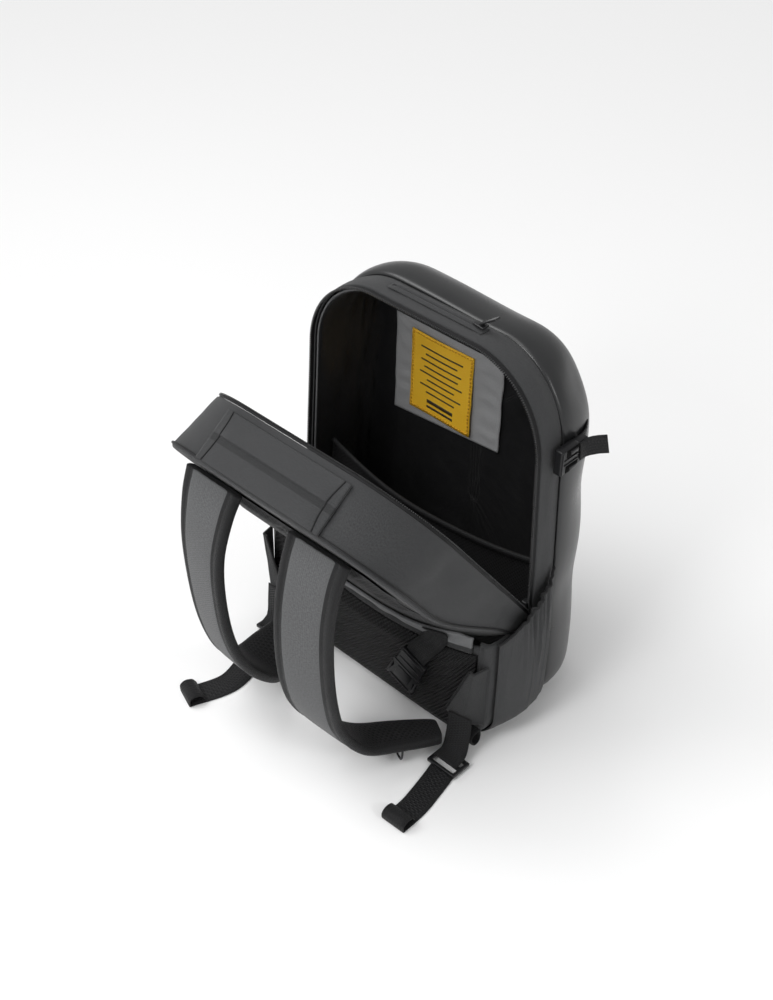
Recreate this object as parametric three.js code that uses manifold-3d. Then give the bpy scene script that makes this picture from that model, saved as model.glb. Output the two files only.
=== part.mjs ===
// Hard shell backpack, unzipped, its back panel leaning out over the shoulder straps.
// Millimetres. x runs across the bag, +y to the hard shell, z up from the floor.
// The origin is on the base, in the plane of the main zip.
import * as THREE from 'three';
import Module from 'manifold-3d';
import { mergeVertices } from 'three/addons/utils/BufferGeometryUtils.js';

const wasm = await Module();
wasm.setup();

// Carcass
const WIDTH = 300;
const HEIGHT = 400;
const GUSSET_DEPTH = 30;
const SHELL_DEPTH = 69;
const BACK_DEPTH = 60;
const TOP_RADIUS = 85;
const BASE_RADIUS = 38;
const TAPER = 0.07;
const SHELL_EDGE = 48;
const SHELL_WALL = 2.5;
const FABRIC = 2.5;
const LINING_WALL = 1.5;
const GAP = 0.3;
const SOFT_CLEAR = 1.9;

// Back panel flap
const HINGE_HEIGHT = 135;
const FOLD_HEIGHT = 101;
const LEAN = THREE.MathUtils.degToRad(37);
const FLAP_DEPTH = 60;
const FOLD_BULGE = 8;
const FLAP_CORNER = 62;
const FLAP_TAPE_WIDTH = 4;
const TAPE_WIDTH = 6;
const TAPE_THICKNESS = 1.6;

// Pads, straps and webbing
const BACK_PAD = 6;
const LUMBAR_PAD = 9;
const STRAP_WIDTH = 66;
const STRAP_THICKNESS = 11;
const STRAP_SPACING = 134;
const WEBBING_WIDTH = 27;
const WEBBING_THICKNESS = 1.5;
const HANDLE_LENGTH = 150;
const HANDLE_WIDTH = 50;
const HANDLE_THICKNESS = 2.5;

// Pockets and closures
const SIDE_POCKET_HEIGHT = 150;
const SIDE_POCKET_BULGE = 13;
const SIDE_STRAP_HEIGHT = 312;
const SIDE_WEBBING_WIDTH = 22;
const WELT_LENGTH = 112;
const WELT_WIDTH = 12;
const INNER_STRAP_WIDTH = 12;
const LABEL_WIDTH = 80;
const LABEL_HEIGHT = 92;
const PANEL_WIDTH = 138;
const MESH_POCKET_HEIGHT = 166;
const MESH_POCKET_DEPTH = 20;
const SLIDER_LENGTH = 13;
const SLIDER_HEIGHT = 2.4;
const PULL_LENGTH = 21;
const PULL_WIDTH = 7;
const PULL_THICKNESS = 1.8;
const PULL_TILT = THREE.MathUtils.degToRad(35);

const HALF = WIDTH / 2;
const SHELL_START = GUSSET_DEPTH + GAP;
const SHELL_FRONT = GUSSET_DEPTH + SHELL_DEPTH;
const FLAP_LENGTH = HEIGHT - HINGE_HEIGHT;

const bag = new THREE.Group();

const COLOURS = {
  fabric: [0x4a4b4c, 0.85],
  shell: [0x3a3b3c, 0.42],
  black: [0x17181a, 0.7],
  lining: [0x111113, 0.45],
  panel: [0x6a6b6d, 0.6],
  mesh: [0x0d0d0e, 0.9],
  plastic: [0x101113, 0.4],
  label: [0xf0ad20, 0.6],
};

function add(name, geometry, colour) {
  const [hex, roughness] = COLOURS[colour];
  const material = new THREE.MeshStandardMaterial({ color: hex, roughness, metalness: 0 });
  const mesh = new THREE.Mesh(geometry, material);
  mesh.name = name;
  bag.add(mesh);
  return mesh;
}

const vec = (x, y, z) => new THREE.Vector3(x, y, z);
const mix = THREE.MathUtils.lerp;
const smooth = (t) => THREE.MathUtils.smoothstep(t, 0, 1);

// A closed body through rings of equal count, each end closed by a fan from its middle
function loft(rings) {
  const count = rings[0].length;
  const middle = (ring) => ring.reduce((sum, p) => sum.add(p), vec(0, 0, 0)).divideScalar(count);
  const points = rings.flat();
  const index = [];
  for (let r = 0; r + 1 < rings.length; r += 1) {
    for (let i = 0; i < count; i += 1) {
      const a = r * count + i;
      const b = r * count + (i + 1) % count;
      index.push(a, b, b + count, a, b + count, a + count);
    }
  }
  const last = (rings.length - 1) * count;
  const start = points.length;
  points.push(middle(rings[0]), middle(rings[rings.length - 1]));
  for (let i = 0; i < count; i += 1) {
    const j = (i + 1) % count;
    index.push(start, j, i);
    index.push(start + 1, last + i, last + j);
  }
  return outward(points, index);
}

// Turns every face the other way where the body would be inside out
function outward(points, index) {
  let volume = 0;
  for (let i = 0; i < index.length; i += 3) {
    const [a, b, c] = [points[index[i]], points[index[i + 1]], points[index[i + 2]]];
    volume += a.dot(vec(0, 0, 0).crossVectors(b, c));
  }
  const faces = volume < 0 ? index.slice().reverse() : index;
  const geometry = new THREE.BufferGeometry();
  const numbers = points.flatMap((p) => p.toArray());
  geometry.setAttribute('position', new THREE.Float32BufferAttribute(numbers, 3));
  geometry.setIndex(faces);
  return geometry;
}

// A wall of the given thickness on a surface of two parameters, thickened along its own normal
function sheet(surface, columns, rows, thickness) {
  const step = 1e-3;
  const inner = [];
  const outer = [];
  for (let j = 0; j <= rows; j += 1) {
    for (let i = 0; i <= columns; i += 1) {
      const [s, t] = [i / columns, j / rows];
      const p = surface(s, t);
      const alongS = surface(s + step, t).sub(surface(s - step, t));
      const alongT = surface(s, t + step).sub(surface(s, t - step));
      const normal = alongS.cross(alongT).normalize();
      inner.push(p);
      outer.push(p.clone().addScaledVector(normal, thickness));
    }
  }
  const wide = columns + 1;
  const shift = inner.length;
  const index = [];
  const quad = (a, b, c, d) => index.push(a, b, c, a, c, d);
  for (let j = 0; j < rows; j += 1) {
    for (let i = 0; i < columns; i += 1) {
      const a = j * wide + i;
      quad(a, a + wide, a + wide + 1, a + 1);
      quad(a + shift, a + 1 + shift, a + wide + 1 + shift, a + wide + shift);
    }
  }
  for (let i = 0; i < columns; i += 1) {
    const top = rows * wide + i;
    quad(i, i + 1, i + 1 + shift, i + shift);
    quad(top, top + shift, top + 1 + shift, top + 1);
  }
  for (let j = 0; j < rows; j += 1) {
    const a = j * wide;
    const b = a + columns;
    quad(a, a + shift, a + wide + shift, a + wide);
    quad(b, b + wide, b + wide + shift, b + shift);
  }
  return outward([...inner, ...outer], index);
}

// A flat outline pushed along z by a depth, with small bevels left out
function plate(outline, depth, holes = []) {
  const shape = new THREE.Shape(outline.map(([x, y]) => new THREE.Vector2(x, y)));
  for (const hole of holes) {
    shape.holes.push(new THREE.Path(hole.map(([x, y]) => new THREE.Vector2(x, y))));
  }
  return new THREE.ExtrudeGeometry(shape, { depth, bevelEnabled: false });
}

const rectangle = (w, h, cx = 0, cy = 0) => [
  [cx - w / 2, cy - h / 2], [cx + w / 2, cy - h / 2], [cx + w / 2, cy + h / 2], [cx - w / 2, cy + h / 2],
];

function toSolid(geometry) {
  const bare = geometry.clone();
  for (const name of ['normal', 'uv']) bare.deleteAttribute(name);
  const merged = mergeVertices(bare, 1e-4);
  const vertProperties = new Float32Array(merged.attributes.position.array);
  const triVerts = new Uint32Array(merged.index.array);
  return new wasm.Manifold(new wasm.Mesh({ numProp: 3, vertProperties, triVerts }));
}

function toGeometry(solid) {
  const mesh = solid.getMesh();
  const geometry = new THREE.BufferGeometry();
  geometry.setAttribute('position', new THREE.BufferAttribute(mesh.vertProperties, 3));
  geometry.setIndex(new THREE.BufferAttribute(mesh.triVerts, 1));
  return geometry;
}

// The bag seen from the wearer's side: tapering sides, a round top, small base corners
const narrow = (z) => 1 - TAPER * smooth((z / HEIGHT - 0.2) / 0.8);

const ARCS = [
  { side: 1, end: 'base', from: -90, to: 0, steps: 5 },
  { side: 1, end: 'top', from: 0, to: 90, steps: 8 },
  { side: -1, end: 'top', from: 90, to: 180, steps: 8 },
  { side: -1, end: 'base', from: 180, to: 270, steps: 5 },
];
const EDGE_STEPS = { base: 5, top: 5, side: 5 };

function outline(inset, topRadius = TOP_RADIUS) {
  const corners = ARCS.map(({ side, end, from, to, steps }) => {
    const full = end === 'top' ? topRadius : BASE_RADIUS;
    const radius = Math.max(full - inset, 4);
    const x = side * (HALF - inset - radius);
    const z = end === 'top' ? HEIGHT - inset - radius : inset + radius;
    const arc = [];
    for (let i = 0; i <= steps; i += 1) {
      const angle = THREE.MathUtils.degToRad(mix(from, to, i / steps));
      arc.push([x + radius * Math.cos(angle), z + radius * Math.sin(angle)]);
    }
    return arc;
  });
  const between = [EDGE_STEPS.side, EDGE_STEPS.top, EDGE_STEPS.side, EDGE_STEPS.base];
  const points = [];
  corners.forEach((arc, k) => {
    points.push(...arc);
    const [a, b] = [arc[arc.length - 1], corners[(k + 1) % corners.length][0]];
    for (let i = 1; i < between[k]; i += 1) {
      points.push([mix(a[0], b[0], i / between[k]), mix(a[1], b[1], i / between[k])]);
    }
  });
  return points.map(([x, z]) => [x * narrow(z), Math.max(z, 0)]);
}

// Half width of the bag's side at a height, for what is sewn to the sides
function sideX(z) {
  const fall = Math.max(BASE_RADIUS - z, 0);
  const rise = Math.max(z - (HEIGHT - TOP_RADIUS), 0);
  const low = BASE_RADIUS - Math.sqrt(Math.max(BASE_RADIUS ** 2 - fall ** 2, 0));
  const high = TOP_RADIUS - Math.sqrt(Math.max(TOP_RADIUS ** 2 - rise ** 2, 0));
  return (HALF - low - high) * narrow(z);
}

// Dents of the hard shell: centre and radius as shares of width, depth and height
const SHELL_DENTS = [
  { x: 0.43, y: 0.55, z: 0.9, radius: 0.10, deep: 7, push: [-0.8, 0, -0.6] },
  { x: 0.5, y: 0.4, z: 0.33, radius: 0.13, deep: 6, push: [-1, 0, 0] },
  { x: 0.5, y: 0.75, z: 0.62, radius: 0.10, deep: 4, push: [-0.8, -0.6, 0] },
  { x: -0.5, y: 0.5, z: 0.5, radius: 0.14, deep: 6, push: [1, 0, 0] },
  { x: 0.17, y: 0.45, z: 1, radius: 0.2, deep: 4, push: [0, 0, -1] },
  { x: -0.1, y: 1, z: 0.72, radius: 0.16, deep: 7, push: [0, -1, 0] },
  { x: 0.22, y: 1, z: 0.42, radius: 0.17, deep: 8, push: [0, -1, 0] },
  { x: -0.25, y: 1, z: 0.25, radius: 0.13, deep: 6, push: [0, -1, 0] },
];

function dented(p) {
  const moved = p.clone();
  for (const { x, y, z, radius, deep, push } of SHELL_DENTS) {
    const centre = vec(x * WIDTH, SHELL_START + y * SHELL_DEPTH, z * HEIGHT);
    const near = Math.exp(-((p.distanceTo(centre) / (radius * WIDTH)) ** 2));
    moved.addScaledVector(vec(...push), deep * near);
  }
  return moved;
}

// Section of the shell from the seam to the middle of its front
const SHELL_SECTION = [
  { deep: 0, inset: 0 }, { deep: 0.05, inset: -0.05 }, { deep: 0.2, inset: -0.07 },
  { deep: 0.4, inset: -0.03 }, { deep: 0.58, inset: 0.07 }, { deep: 0.74, inset: 0.22 },
  { deep: 0.87, inset: 0.44 }, { deep: 0.96, inset: 0.72 }, { deep: 1, inset: 1.05 },
  { deep: 1.02, inset: 1.6 }, { deep: 1.03, inset: 2.2 },
];

function shellRing({ deep, inset }, wall) {
  const reach = inset * SHELL_EDGE + wall;
  const y = SHELL_START + deep * SHELL_DEPTH - (deep > 0 ? wall * smooth(deep * 1.6) : 0);
  return outline(reach).map(([x, z]) => dented(vec(x, y, z)));
}

function shell() {
  const outside = SHELL_SECTION.map((row) => shellRing(row, 0));
  const inside = SHELL_SECTION.map((row) => shellRing(row, SHELL_WALL)).reverse();
  return loft([...inside, ...outside]);
}

add('shell', shell(), 'shell');

// The fold line of the back, lowest in the middle where the flap's weight pulls it down
const foldZ = (x) => mix(FOLD_HEIGHT, HINGE_HEIGHT, Math.min((x / HALF) ** 2, 1));

// Gusset and lower box: one fabric wall, open above the fold line on the wearer's side
const BODY_SECTION = [
  { y: -1, inset: 11 }, { y: -0.94, inset: 3.5 }, { y: -0.82, inset: 0.6 }, { y: -0.4, inset: 0 },
  { y: 0, inset: 0 }, { y: 0.25, inset: -0.8 }, { y: 0.5, inset: -1.2 }, { y: 0.8, inset: 0.4 },
  { y: 1, inset: 2.2 },
];

function bodySection(wall) {
  return BODY_SECTION.map(({ y, inset }) => {
    const place = y * (y < 0 ? BACK_DEPTH : GUSSET_DEPTH);
    return outline(inset + wall).map(([x, z]) => vec(x, place, z));
  });
}

// What lies above or below the fold line, between two depths
function foldCut(lift, yFrom, yTo, above) {
  const steps = 24;
  const reach = HALF * 1.3;
  const curve = [];
  for (let i = 0; i <= steps; i += 1) {
    const x = mix(-reach, reach, i / steps);
    curve.push([x, foldZ(x) + lift]);
  }
  const far = above ? HEIGHT * 1.5 : -HEIGHT;
  const shape = [...curve, [reach, far], [-reach, far]];
  const cutter = plate(shape, yTo - yFrom);
  cutter.rotateX(Math.PI / 2);
  cutter.translate(0, yTo, 0);
  return toSolid(cutter);
}

function bodyWall() {
  const outside = toSolid(loft(bodySection(0)));
  const inner = bodySection(FABRIC);
  inner[0].forEach((p) => { p.y += FABRIC; });
  inner[inner.length - 1].forEach((p) => { p.y += 5; });
  const hollow = toSolid(loft(inner));
  const open = foldCut(0, -BACK_DEPTH * 1.5, 0, true);
  return toGeometry(outside.subtract(hollow).subtract(open));
}

add('body_wall', bodyWall(), 'fabric');

// Satin lining, a tray that follows the gusset and the shell just inside them
const LINING_SECTION = [
  { y: 0.01, inset: 0 }, { y: 0.3, inset: 0 }, { y: 0.6, inset: 0.02 }, { y: 0.8, inset: 0.1 },
  { y: 0.93, inset: 0.27 }, { y: 1, inset: 0.6 }, { y: 1, inset: 1.4 },
];
const LINING_CLEAR = FABRIC + 2.5;
const LINING_BACK = SHELL_FRONT - SHELL_WALL - 9;

function lining() {
  const ring = ({ y, inset }, wall) => {
    const place = y * LINING_BACK - (y > 0.5 ? wall : 0);
    return outline(LINING_CLEAR + inset * SHELL_EDGE + wall).map(([x, z]) => {
      const moved = dented(vec(x, place, z));
      return vec(moved.x, place, moved.z);
    });
  };
  const outside = LINING_SECTION.map((row) => ring(row, 0));
  const inside = LINING_SECTION.map((row) => ring(row, LINING_WALL)).reverse();
  return loft([...inside, ...outside]);
}

add('lining', lining(), 'lining');

// Flat things on the far wall of the lining, each a small distance in front of the last
const farWall = LINING_BACK - LINING_WALL - GAP;
const PANEL_X = -0.135;
const PANEL_TOP = 0.82;
const PANEL_BOTTOM = 0.52;
const LABEL_X = -0.155;
const LABEL_TOP = 0.785;
const wave = (s, t) => 0.8 * Math.sin(9 * s + 5 * t) * Math.sin(Math.PI * s) * Math.sin(Math.PI * t);

function liningPanel() {
  const surface = (s, t) => {
    const x = PANEL_X * WIDTH + (s - 0.5) * PANEL_WIDTH;
    const z = HEIGHT * mix(PANEL_BOTTOM + 0.03 * s, PANEL_TOP, t);
    return vec(x, farWall - 1.2 + wave(s, t), z);
  };
  return sheet(surface, 8, 8, LINING_WALL);
}

add('lining_panel', liningPanel(), 'panel');

function label() {
  const surface = (s, t) => {
    const x = LABEL_X * WIDTH + (s - 0.5) * LABEL_WIDTH;
    const z = HEIGHT * LABEL_TOP - (1 - t) * LABEL_HEIGHT;
    return vec(x, farWall - 1.2 - LINING_WALL - 1.4, z);
  };
  return sheet(surface, 2, 2, 1);
}

add('label', label(), 'label');

function meshPocket() {
  const surface = (s, t) => {
    const x = 2 * s - 1;
    const z = mix(BASE_RADIUS * 0.95, MESH_POCKET_HEIGHT + 0.12 * HALF * x * x, t);
    const wallX = (sideX(z) - LINING_CLEAR - LINING_WALL) * Math.sign(x || 1);
    const reach = Math.abs(dented(vec(wallX, MESH_POCKET_DEPTH, z)).x) - 4 * GAP;
    return vec(x * reach, MESH_POCKET_DEPTH - 6 * Math.sin(Math.PI * s) * t, z);
  };
  return sheet(surface, 12, 6, LINING_WALL);
}

add('mesh_pocket', meshPocket(), 'mesh');

// Flap frame: u runs up the leaning panel from the hinge, v outwards from the zip plane
const flapU = vec(0, -Math.sin(LEAN), Math.cos(LEAN));
const flapV = vec(0, -Math.cos(LEAN), -Math.sin(LEAN));

function flapPoint(x, u, v) {
  return vec(x, 0, HINGE_HEIGHT).addScaledVector(flapU, u).addScaledVector(flapV, v);
}

// The side walls collapse towards the hinge, so the flap is shallow there at its sides
function flapDepth(x, u) {
  const share = Math.min(Math.abs(x / HALF), 1);
  const collapse = 0.62 * share ** 3 * (1 - smooth(u / (FLAP_LENGTH * 0.6)));
  const settle = FOLD_BULGE * (1 - share ** 2) * (1 - smooth(u / (FLAP_LENGTH * 0.35)));
  return FLAP_DEPTH * (1 - collapse) + settle;
}

const FLAP_SECTION = [
  { deep: 0, inset: 0 }, { deep: 0.35, inset: -0.6 }, { deep: 0.7, inset: -0.4 },
  { deep: 0.93, inset: 0.6 }, { deep: 1, inset: 6 }, { deep: 1, inset: 30 }, { deep: 1, inset: 62 },
  { deep: 1, inset: 92 }, { deep: 1, inset: 120 },
];

function flap() {
  const ring = ({ deep, inset }, wall) => {
    const corner = mix(TOP_RADIUS, FLAP_CORNER, deep);
    return outline(inset + wall, corner).map(([x, z]) => {
      const u = z - HINGE_HEIGHT;
      return flapPoint(x, u, deep * flapDepth(x, u) - (deep > 0.9 ? wall : 0));
    });
  };
  const outside = FLAP_SECTION.map((row) => ring(row, 0));
  const inside = FLAP_SECTION.map((row) => ring(row, FABRIC)).reverse();
  const whole = toSolid(loft([...inside, ...outside]));
  const below = plate(rectangle(WIDTH * 1.5, HEIGHT), FLAP_DEPTH * 4);
  below.translate(0, -HEIGHT / 2 + 2 * GAP, -FLAP_DEPTH * 2);
  below.applyMatrix4(new THREE.Matrix4().makeBasis(vec(1, 0, 0), flapU, flapV));
  below.translate(0, 0, HINGE_HEIGHT);
  const folded = foldCut(GAP, -BACK_DEPTH * 2, BACK_DEPTH, false);
  return toGeometry(whole.subtract(toSolid(below)).subtract(folded));
}

add('flap', flap(), 'fabric');

// Zip tape along an outline: a thin band standing on the rim from hinge to hinge
function tapeOn(place, inset, fullWidth) {
  const path = outline(inset).filter(([, z]) => z > HINGE_HEIGHT + 4);
  const start = path.findIndex(([x], i) => i > 0 && path[i - 1][0] < 0 && x > 0);
  const run = start > 0 ? [...path.slice(start), ...path.slice(0, start)] : path;
  const rings = run.map(([x, z], i) => {
    const [a, b] = [run[Math.max(i - 1, 0)], run[Math.min(i + 1, run.length - 1)]];
    const inwards = new THREE.Vector2(-(b[1] - a[1]), b[0] - a[0]).normalize();
    const width = Math.min(fullWidth, 0.27 * (z - HINGE_HEIGHT));
    const [ix, iz] = [x + inwards.x * TAPE_THICKNESS, z + inwards.y * TAPE_THICKNESS];
    return [place(x, z, GAP), place(x, z, width), place(ix, iz, width), place(ix, iz, GAP)];
  });
  return loft(rings);
}

add('rim_tape', tapeOn((x, z, out) => vec(x, -out, z), 0.6, TAPE_WIDTH), 'black');
add('flap_tape', tapeOn((x, z, out) => flapPoint(x, z - HINGE_HEIGHT, -out), 0.6, FLAP_TAPE_WIDTH), 'black');

// Padded mesh on the flap's outside, behind the shoulder straps: shares of the flap's half width and length
const BACK_PAD_HALF = 0.72;
const BACK_PAD_FROM = 0.4;
const BACK_PAD_TO = 0.84;

function backPad() {
  const surface = (s, t) => {
    const x = (2 * s - 1) * HALF * BACK_PAD_HALF;
    const u = mix(BACK_PAD_FROM, BACK_PAD_TO, t) * FLAP_LENGTH;
    return flapPoint(x, u, flapDepth(x, u) + SOFT_CLEAR);
  };
  return sheet(surface, 8, 6, BACK_PAD);
}

add('back_pad', backPad(), 'mesh');

// Lumbar pad on the lower box, thick in the middle and thin along its edges
const PAD_INSET = 14;
const PAD_FLOOR = 4;
const STRIP_INSET = 20;
const STRIP_BELOW = 8;
const STRIP_ABOVE = 18;
const STRIP_LIFT = 0.6;

function lumbarPad() {
  const swell = (t) => Math.min(1, 6 * Math.min(t, 1 - t) + 0.35);
  const heights = [0, 0.06, 0.2, 0.5, 0.8, 0.94, 1];
  const ring = (s) => {
    const x = (2 * s - 1) * (HALF - PAD_INSET);
    const foot = PAD_FLOOR * (1 + 1.5 * Math.abs(2 * s - 1) ** 6);
    const head = foldZ(x) - STRIP_BELOW - 2;
    const at = (t, out) => vec(x, -BACK_DEPTH - GAP - out, mix(foot, head, t));
    const front = heights.map((t) => at(t, LUMBAR_PAD * swell(s) * swell(t)));
    return [...front, at(1, 0), at(0, 0)];
  };
  return loft([0, 0.03, 0.1, 0.2, 0.35, 0.5, 0.65, 0.8, 0.9, 0.97, 1].map(ring));
}

add('lumbar_pad', lumbarPad(), 'mesh');

// Folded strip along the fold line, over the lumbar pad's top edge

function foldStrip() {
  const surface = (s, t) => {
    const x = (2 * s - 1) * (HALF - STRIP_INSET);
    const along = mix(-STRIP_BELOW, STRIP_ABOVE, t);
    const atFold = foldZ(x) - HINGE_HEIGHT + flapDepth(x, 0) * Math.sin(LEAN);
    const u = atFold / Math.cos(LEAN) + along;
    const onFlap = flapPoint(x, u, flapDepth(x, u) + SOFT_CLEAR);
    const rear = -BACK_DEPTH - STRIP_LIFT;
    if (along <= 0) return vec(x, rear, foldZ(x) + along);
    return vec(x, Math.min(rear, onFlap.y), Math.max(onFlap.z, foldZ(x) + Math.min(along, 1)));
  };
  return sheet(surface, 12, 4, FABRIC);
}

add('fold_strip', foldStrip(), 'fabric');

// A strap swept through stations above the floor, a rounded section across a given direction
function strap(stations, thickness, sides = 10) {
  const points = (key) => stations.map((row) => vec(...row[key]));
  const curve = (key) => new THREE.CatmullRomCurve3(points(key), false, 'centripetal');
  const path = curve('at');
  const across = curve('wide');
  const steps = stations.length * 3;
  const width = (t) => {
    const k = t * (stations.length - 1);
    const i = Math.min(Math.floor(k), stations.length - 2);
    return mix(stations[i].width, stations[i + 1].width, k - i);
  };
  const rings = [];
  for (let n = 0; n <= steps; n += 1) {
    const t = n / steps;
    const tangent = path.getTangent(t);
    const wide = across.getPoint(t).normalize();
    const thick = vec(0, 0, 0).crossVectors(tangent, wide).normalize();
    const ring = [];
    for (let i = 0; i < sides; i += 1) {
      const angle = (2 * Math.PI * (i + 0.5)) / sides;
      const [c, s] = [Math.cos(angle), Math.sin(angle)];
      const w = Math.sign(c) * Math.abs(c) ** 0.35 * width(t) / 2;
      const h = Math.sign(s) * Math.abs(s) ** 0.5 * thickness / 2;
      const point = path.getPoint(t).addScaledVector(wide, w).addScaledVector(thick, h);
      ring.push(point.setZ(Math.max(point.z, 0)));
    }
    rings.push(ring);
  }
  return loft(rings);
}

// Shoulder strap stations: across as a share of the spacing, down as a share of the flap's top height
const flapTop = flapPoint(0, FLAP_LENGTH, FLAP_DEPTH);
const STRAP_STATIONS = [
  { x: 0.49, y: 0.94, z: 0.93, width: 1.08, turn: -0.02, lift: 0 },
  { x: 0.49, y: 0.99, z: 0.85, width: 1.02, turn: -0.06, lift: 0 },
  { x: 0.49, y: 1.03, z: 0.72, width: 0.96, turn: -0.14, lift: 0 },
  { x: 0.48, y: 1.03, z: 0.56, width: 0.95, turn: -0.18, lift: 0 },
  { x: 0.47, y: 1.0, z: 0.40, width: 0.95, turn: -0.16, lift: 0.03 },
  { x: 0.46, y: 0.94, z: 0.27, width: 0.94, turn: -0.06, lift: 0.08 },
  { x: 0.48, y: 0.84, z: 0.16, width: 0.93, turn: 0.14, lift: 0.18 },
  { x: 0.55, y: 0.72, z: 0.085, width: 0.9, turn: 0.4, lift: 0.36 },
  { x: 0.68, y: 0.57, z: 0.065, width: 0.8, turn: 0.55, lift: 0.4 },
  { x: 0.83, y: 0.43, z: 0.06, width: 0.55, turn: 0.6, lift: 0.3 },
];

// Each strap's lower end spreads out by its own share
const STRAP_SPREAD = { 1: 1, [-1]: 0.58 };

function strapStations(side) {
  const straight = STRAP_STATIONS[0].x;
  return STRAP_STATIONS.map(({ x, y, z, width, turn, lift }) => ({
    at: [side * mix(straight, x, x > straight ? STRAP_SPREAD[side] : 1) * STRAP_SPACING,
      y * flapTop.y, z * flapTop.z],
    wide: [1, -side * turn, side * lift],
    width: width * STRAP_WIDTH,
  }));
}

function shoulderStrap(side) {
  return strap(strapStations(side), STRAP_THICKNESS);
}

add('shoulder_strap_right', shoulderStrap(1), 'fabric');
add('shoulder_strap_left', shoulderStrap(-1), 'fabric');

// Grab handle: a wide folded band on the flap's top wall, its near half creased down
function grabHandle() {
  const surface = (s, t) => {
    const x = (s - 0.5) * HANDLE_LENGTH;
    const lift = GAP + 3 * Math.sin(Math.PI * s) * Math.sin(Math.PI * t);
    return flapPoint(x, FLAP_LENGTH + 0.6 + lift, mix(7, 7 + HANDLE_WIDTH, t));
  };
  return sheet(surface, 8, 6, -HANDLE_THICKNESS);
}

add('grab_handle', grabHandle(), 'fabric');

// Gathered pocket on the right side, from the back edge to the shell's seam
const POCKET_WALL = 1.8;
const POCKET_CLEAR = 2.4;
const POCKET_FOOT = 9;
const POCKET_BACK = -0.82 * BACK_DEPTH;
const POCKET_FRONT = GUSSET_DEPTH - 4;
const POCKET_SLOPE = 0.16;

function sidePocket() {
  const surface = (s, t) => {
    const tall = SIDE_POCKET_HEIGHT * mix(1 - POCKET_SLOPE, 1 + POCKET_SLOPE, s);
    const z = POCKET_FOOT + t * tall;
    const belly = Math.max(Math.sin(Math.PI * s), 0) ** 0.6;
    const gathers = 1.6 * Math.cos(14 * Math.PI * s) * t * t * smooth(2 * s - 0.3);
    const drop = mix(0.75, 1, Math.sin(Math.PI * Math.min(t * 1.1, 1)));
    const out = belly * (SIDE_POCKET_BULGE * drop + gathers) * Math.min(1, 6 * t + 0.1);
    return vec(sideX(z) + POCKET_CLEAR + out, mix(POCKET_BACK, POCKET_FRONT, s), z);
  };
  return sheet(surface, 24, 7, POCKET_WALL);
}

add('side_pocket', sidePocket(), 'fabric');

// A webbing band through points, flat across the given direction
function webbing(points, wide, width = WEBBING_WIDTH) {
  const stations = points.map((at) => ({ at, wide, width }));
  return strap(stations, WEBBING_THICKNESS, 4);
}

// Anchor tabs at the lower corners, their sewn edge at the side and their point on the lumbar pad
const TAB_TOP = 108;
const TAB_LOW = 30;
const TAB_OUT = BACK_DEPTH + LUMBAR_PAD + 3;
const TAB_WALL = 1.8;

function anchorTab(side) {
  const surface = (s, t) => {
    const x = mix(HALF - 2, mix(HALF - 12, HALF - 38, 1 - t), s);
    const y = -mix(BACK_DEPTH - 4, TAB_OUT, smooth(Math.min(s * 2.2, 1)));
    return vec(side * x, y, mix(TAB_LOW + 10 * s, TAB_TOP, t));
  };
  return sheet(surface, 5, 4, -side * TAB_WALL);
}

// Ladder locks lying just off the floor: flat frames with two windows each
const LOCK_LENGTH = 24;
const LOCK_WIDTH = 34;
const LOCK_BAR = 3.4;
const LOCK_THICKNESS = 4;
const LOCK_LIFT = 3.2;
const LOCK_AT = { 1: [140, -98], [-1]: [-113, -88] };

function ladderLock(side) {
  const [x, y] = LOCK_AT[side];
  const tall = (LOCK_LENGTH - 3 * LOCK_BAR) / 2;
  const window = (middle) => rectangle(LOCK_WIDTH - 2 * LOCK_BAR, tall, 0, middle).reverse();
  const reach = (tall + LOCK_BAR) / 2;
  const shape = plate(rectangle(LOCK_WIDTH, LOCK_LENGTH), LOCK_THICKNESS, [window(reach), window(-reach)]);
  shape.translate(x, y, LOCK_LIFT);
  return shape;
}

// The free tails lie on the floor and end in a sewn loop. Each route starts at its lock
const TAIL_ROUTES = {
  1: [[141, -106], [146, -130], [151, -158], [152, -184]],
  [-1]: [[-113, -95], [-108, -116], [-96, -146], [-91, -176], [-104, -214]],
};

// The loop at a tail's end: steps along the tail and heights
const TAIL_LOOP = [[4, 2], [4, 8], [-1, 11.5], [-8, 10], [-12, 4.5]];

function webbingTail(side) {
  const route = TAIL_ROUTES[side];
  const flat = WEBBING_THICKNESS / 2 + GAP;
  const [before, end] = route.slice(-2);
  const run = new THREE.Vector2(end[0] - before[0], end[1] - before[1]).normalize();
  const loop = TAIL_LOOP.map(([along, z]) => [end[0] + run.x * along, end[1] + run.y * along, z]);
  const points = [...route.map(([x, y], i) => [x, y, i === 0 ? LOCK_LIFT - flat : flat]), ...loop];
  const stations = points.map((at, i) => {
    const a = route[Math.min(Math.max(i - 1, 0), route.length - 2)];
    const b = route[Math.min(i + 1, route.length - 1)];
    return { at, wide: [-(b[1] - a[1]), b[0] - a[0], 0], width: WEBBING_WIDTH };
  });
  return strap(stations, WEBBING_THICKNESS, 4);
}

// Short webbing from the tab down to the lock: x, distance out from the tab, and height
const STRAP_ROUTES = {
  1: [[132, 2.9, 46], [135, 8, 26], [138, 16, 11], [139, 30, 8.3]],
  [-1]: [[-124, 2.9, 46], [-122, 6, 28], [-118, 11, 12], [-114, 22, 8.3]],
};

function strapWebbing(side) {
  const points = STRAP_ROUTES[side].map(([x, out, z]) => [x, -TAB_OUT - out, z]);
  return webbing(points, [1, side * 0.1, 0]);
}

// D-ring hanging from the underside of each strap near its lower end
const RING = { width: 20, length: 13, wire: 2.2, across: 9 };

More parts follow.
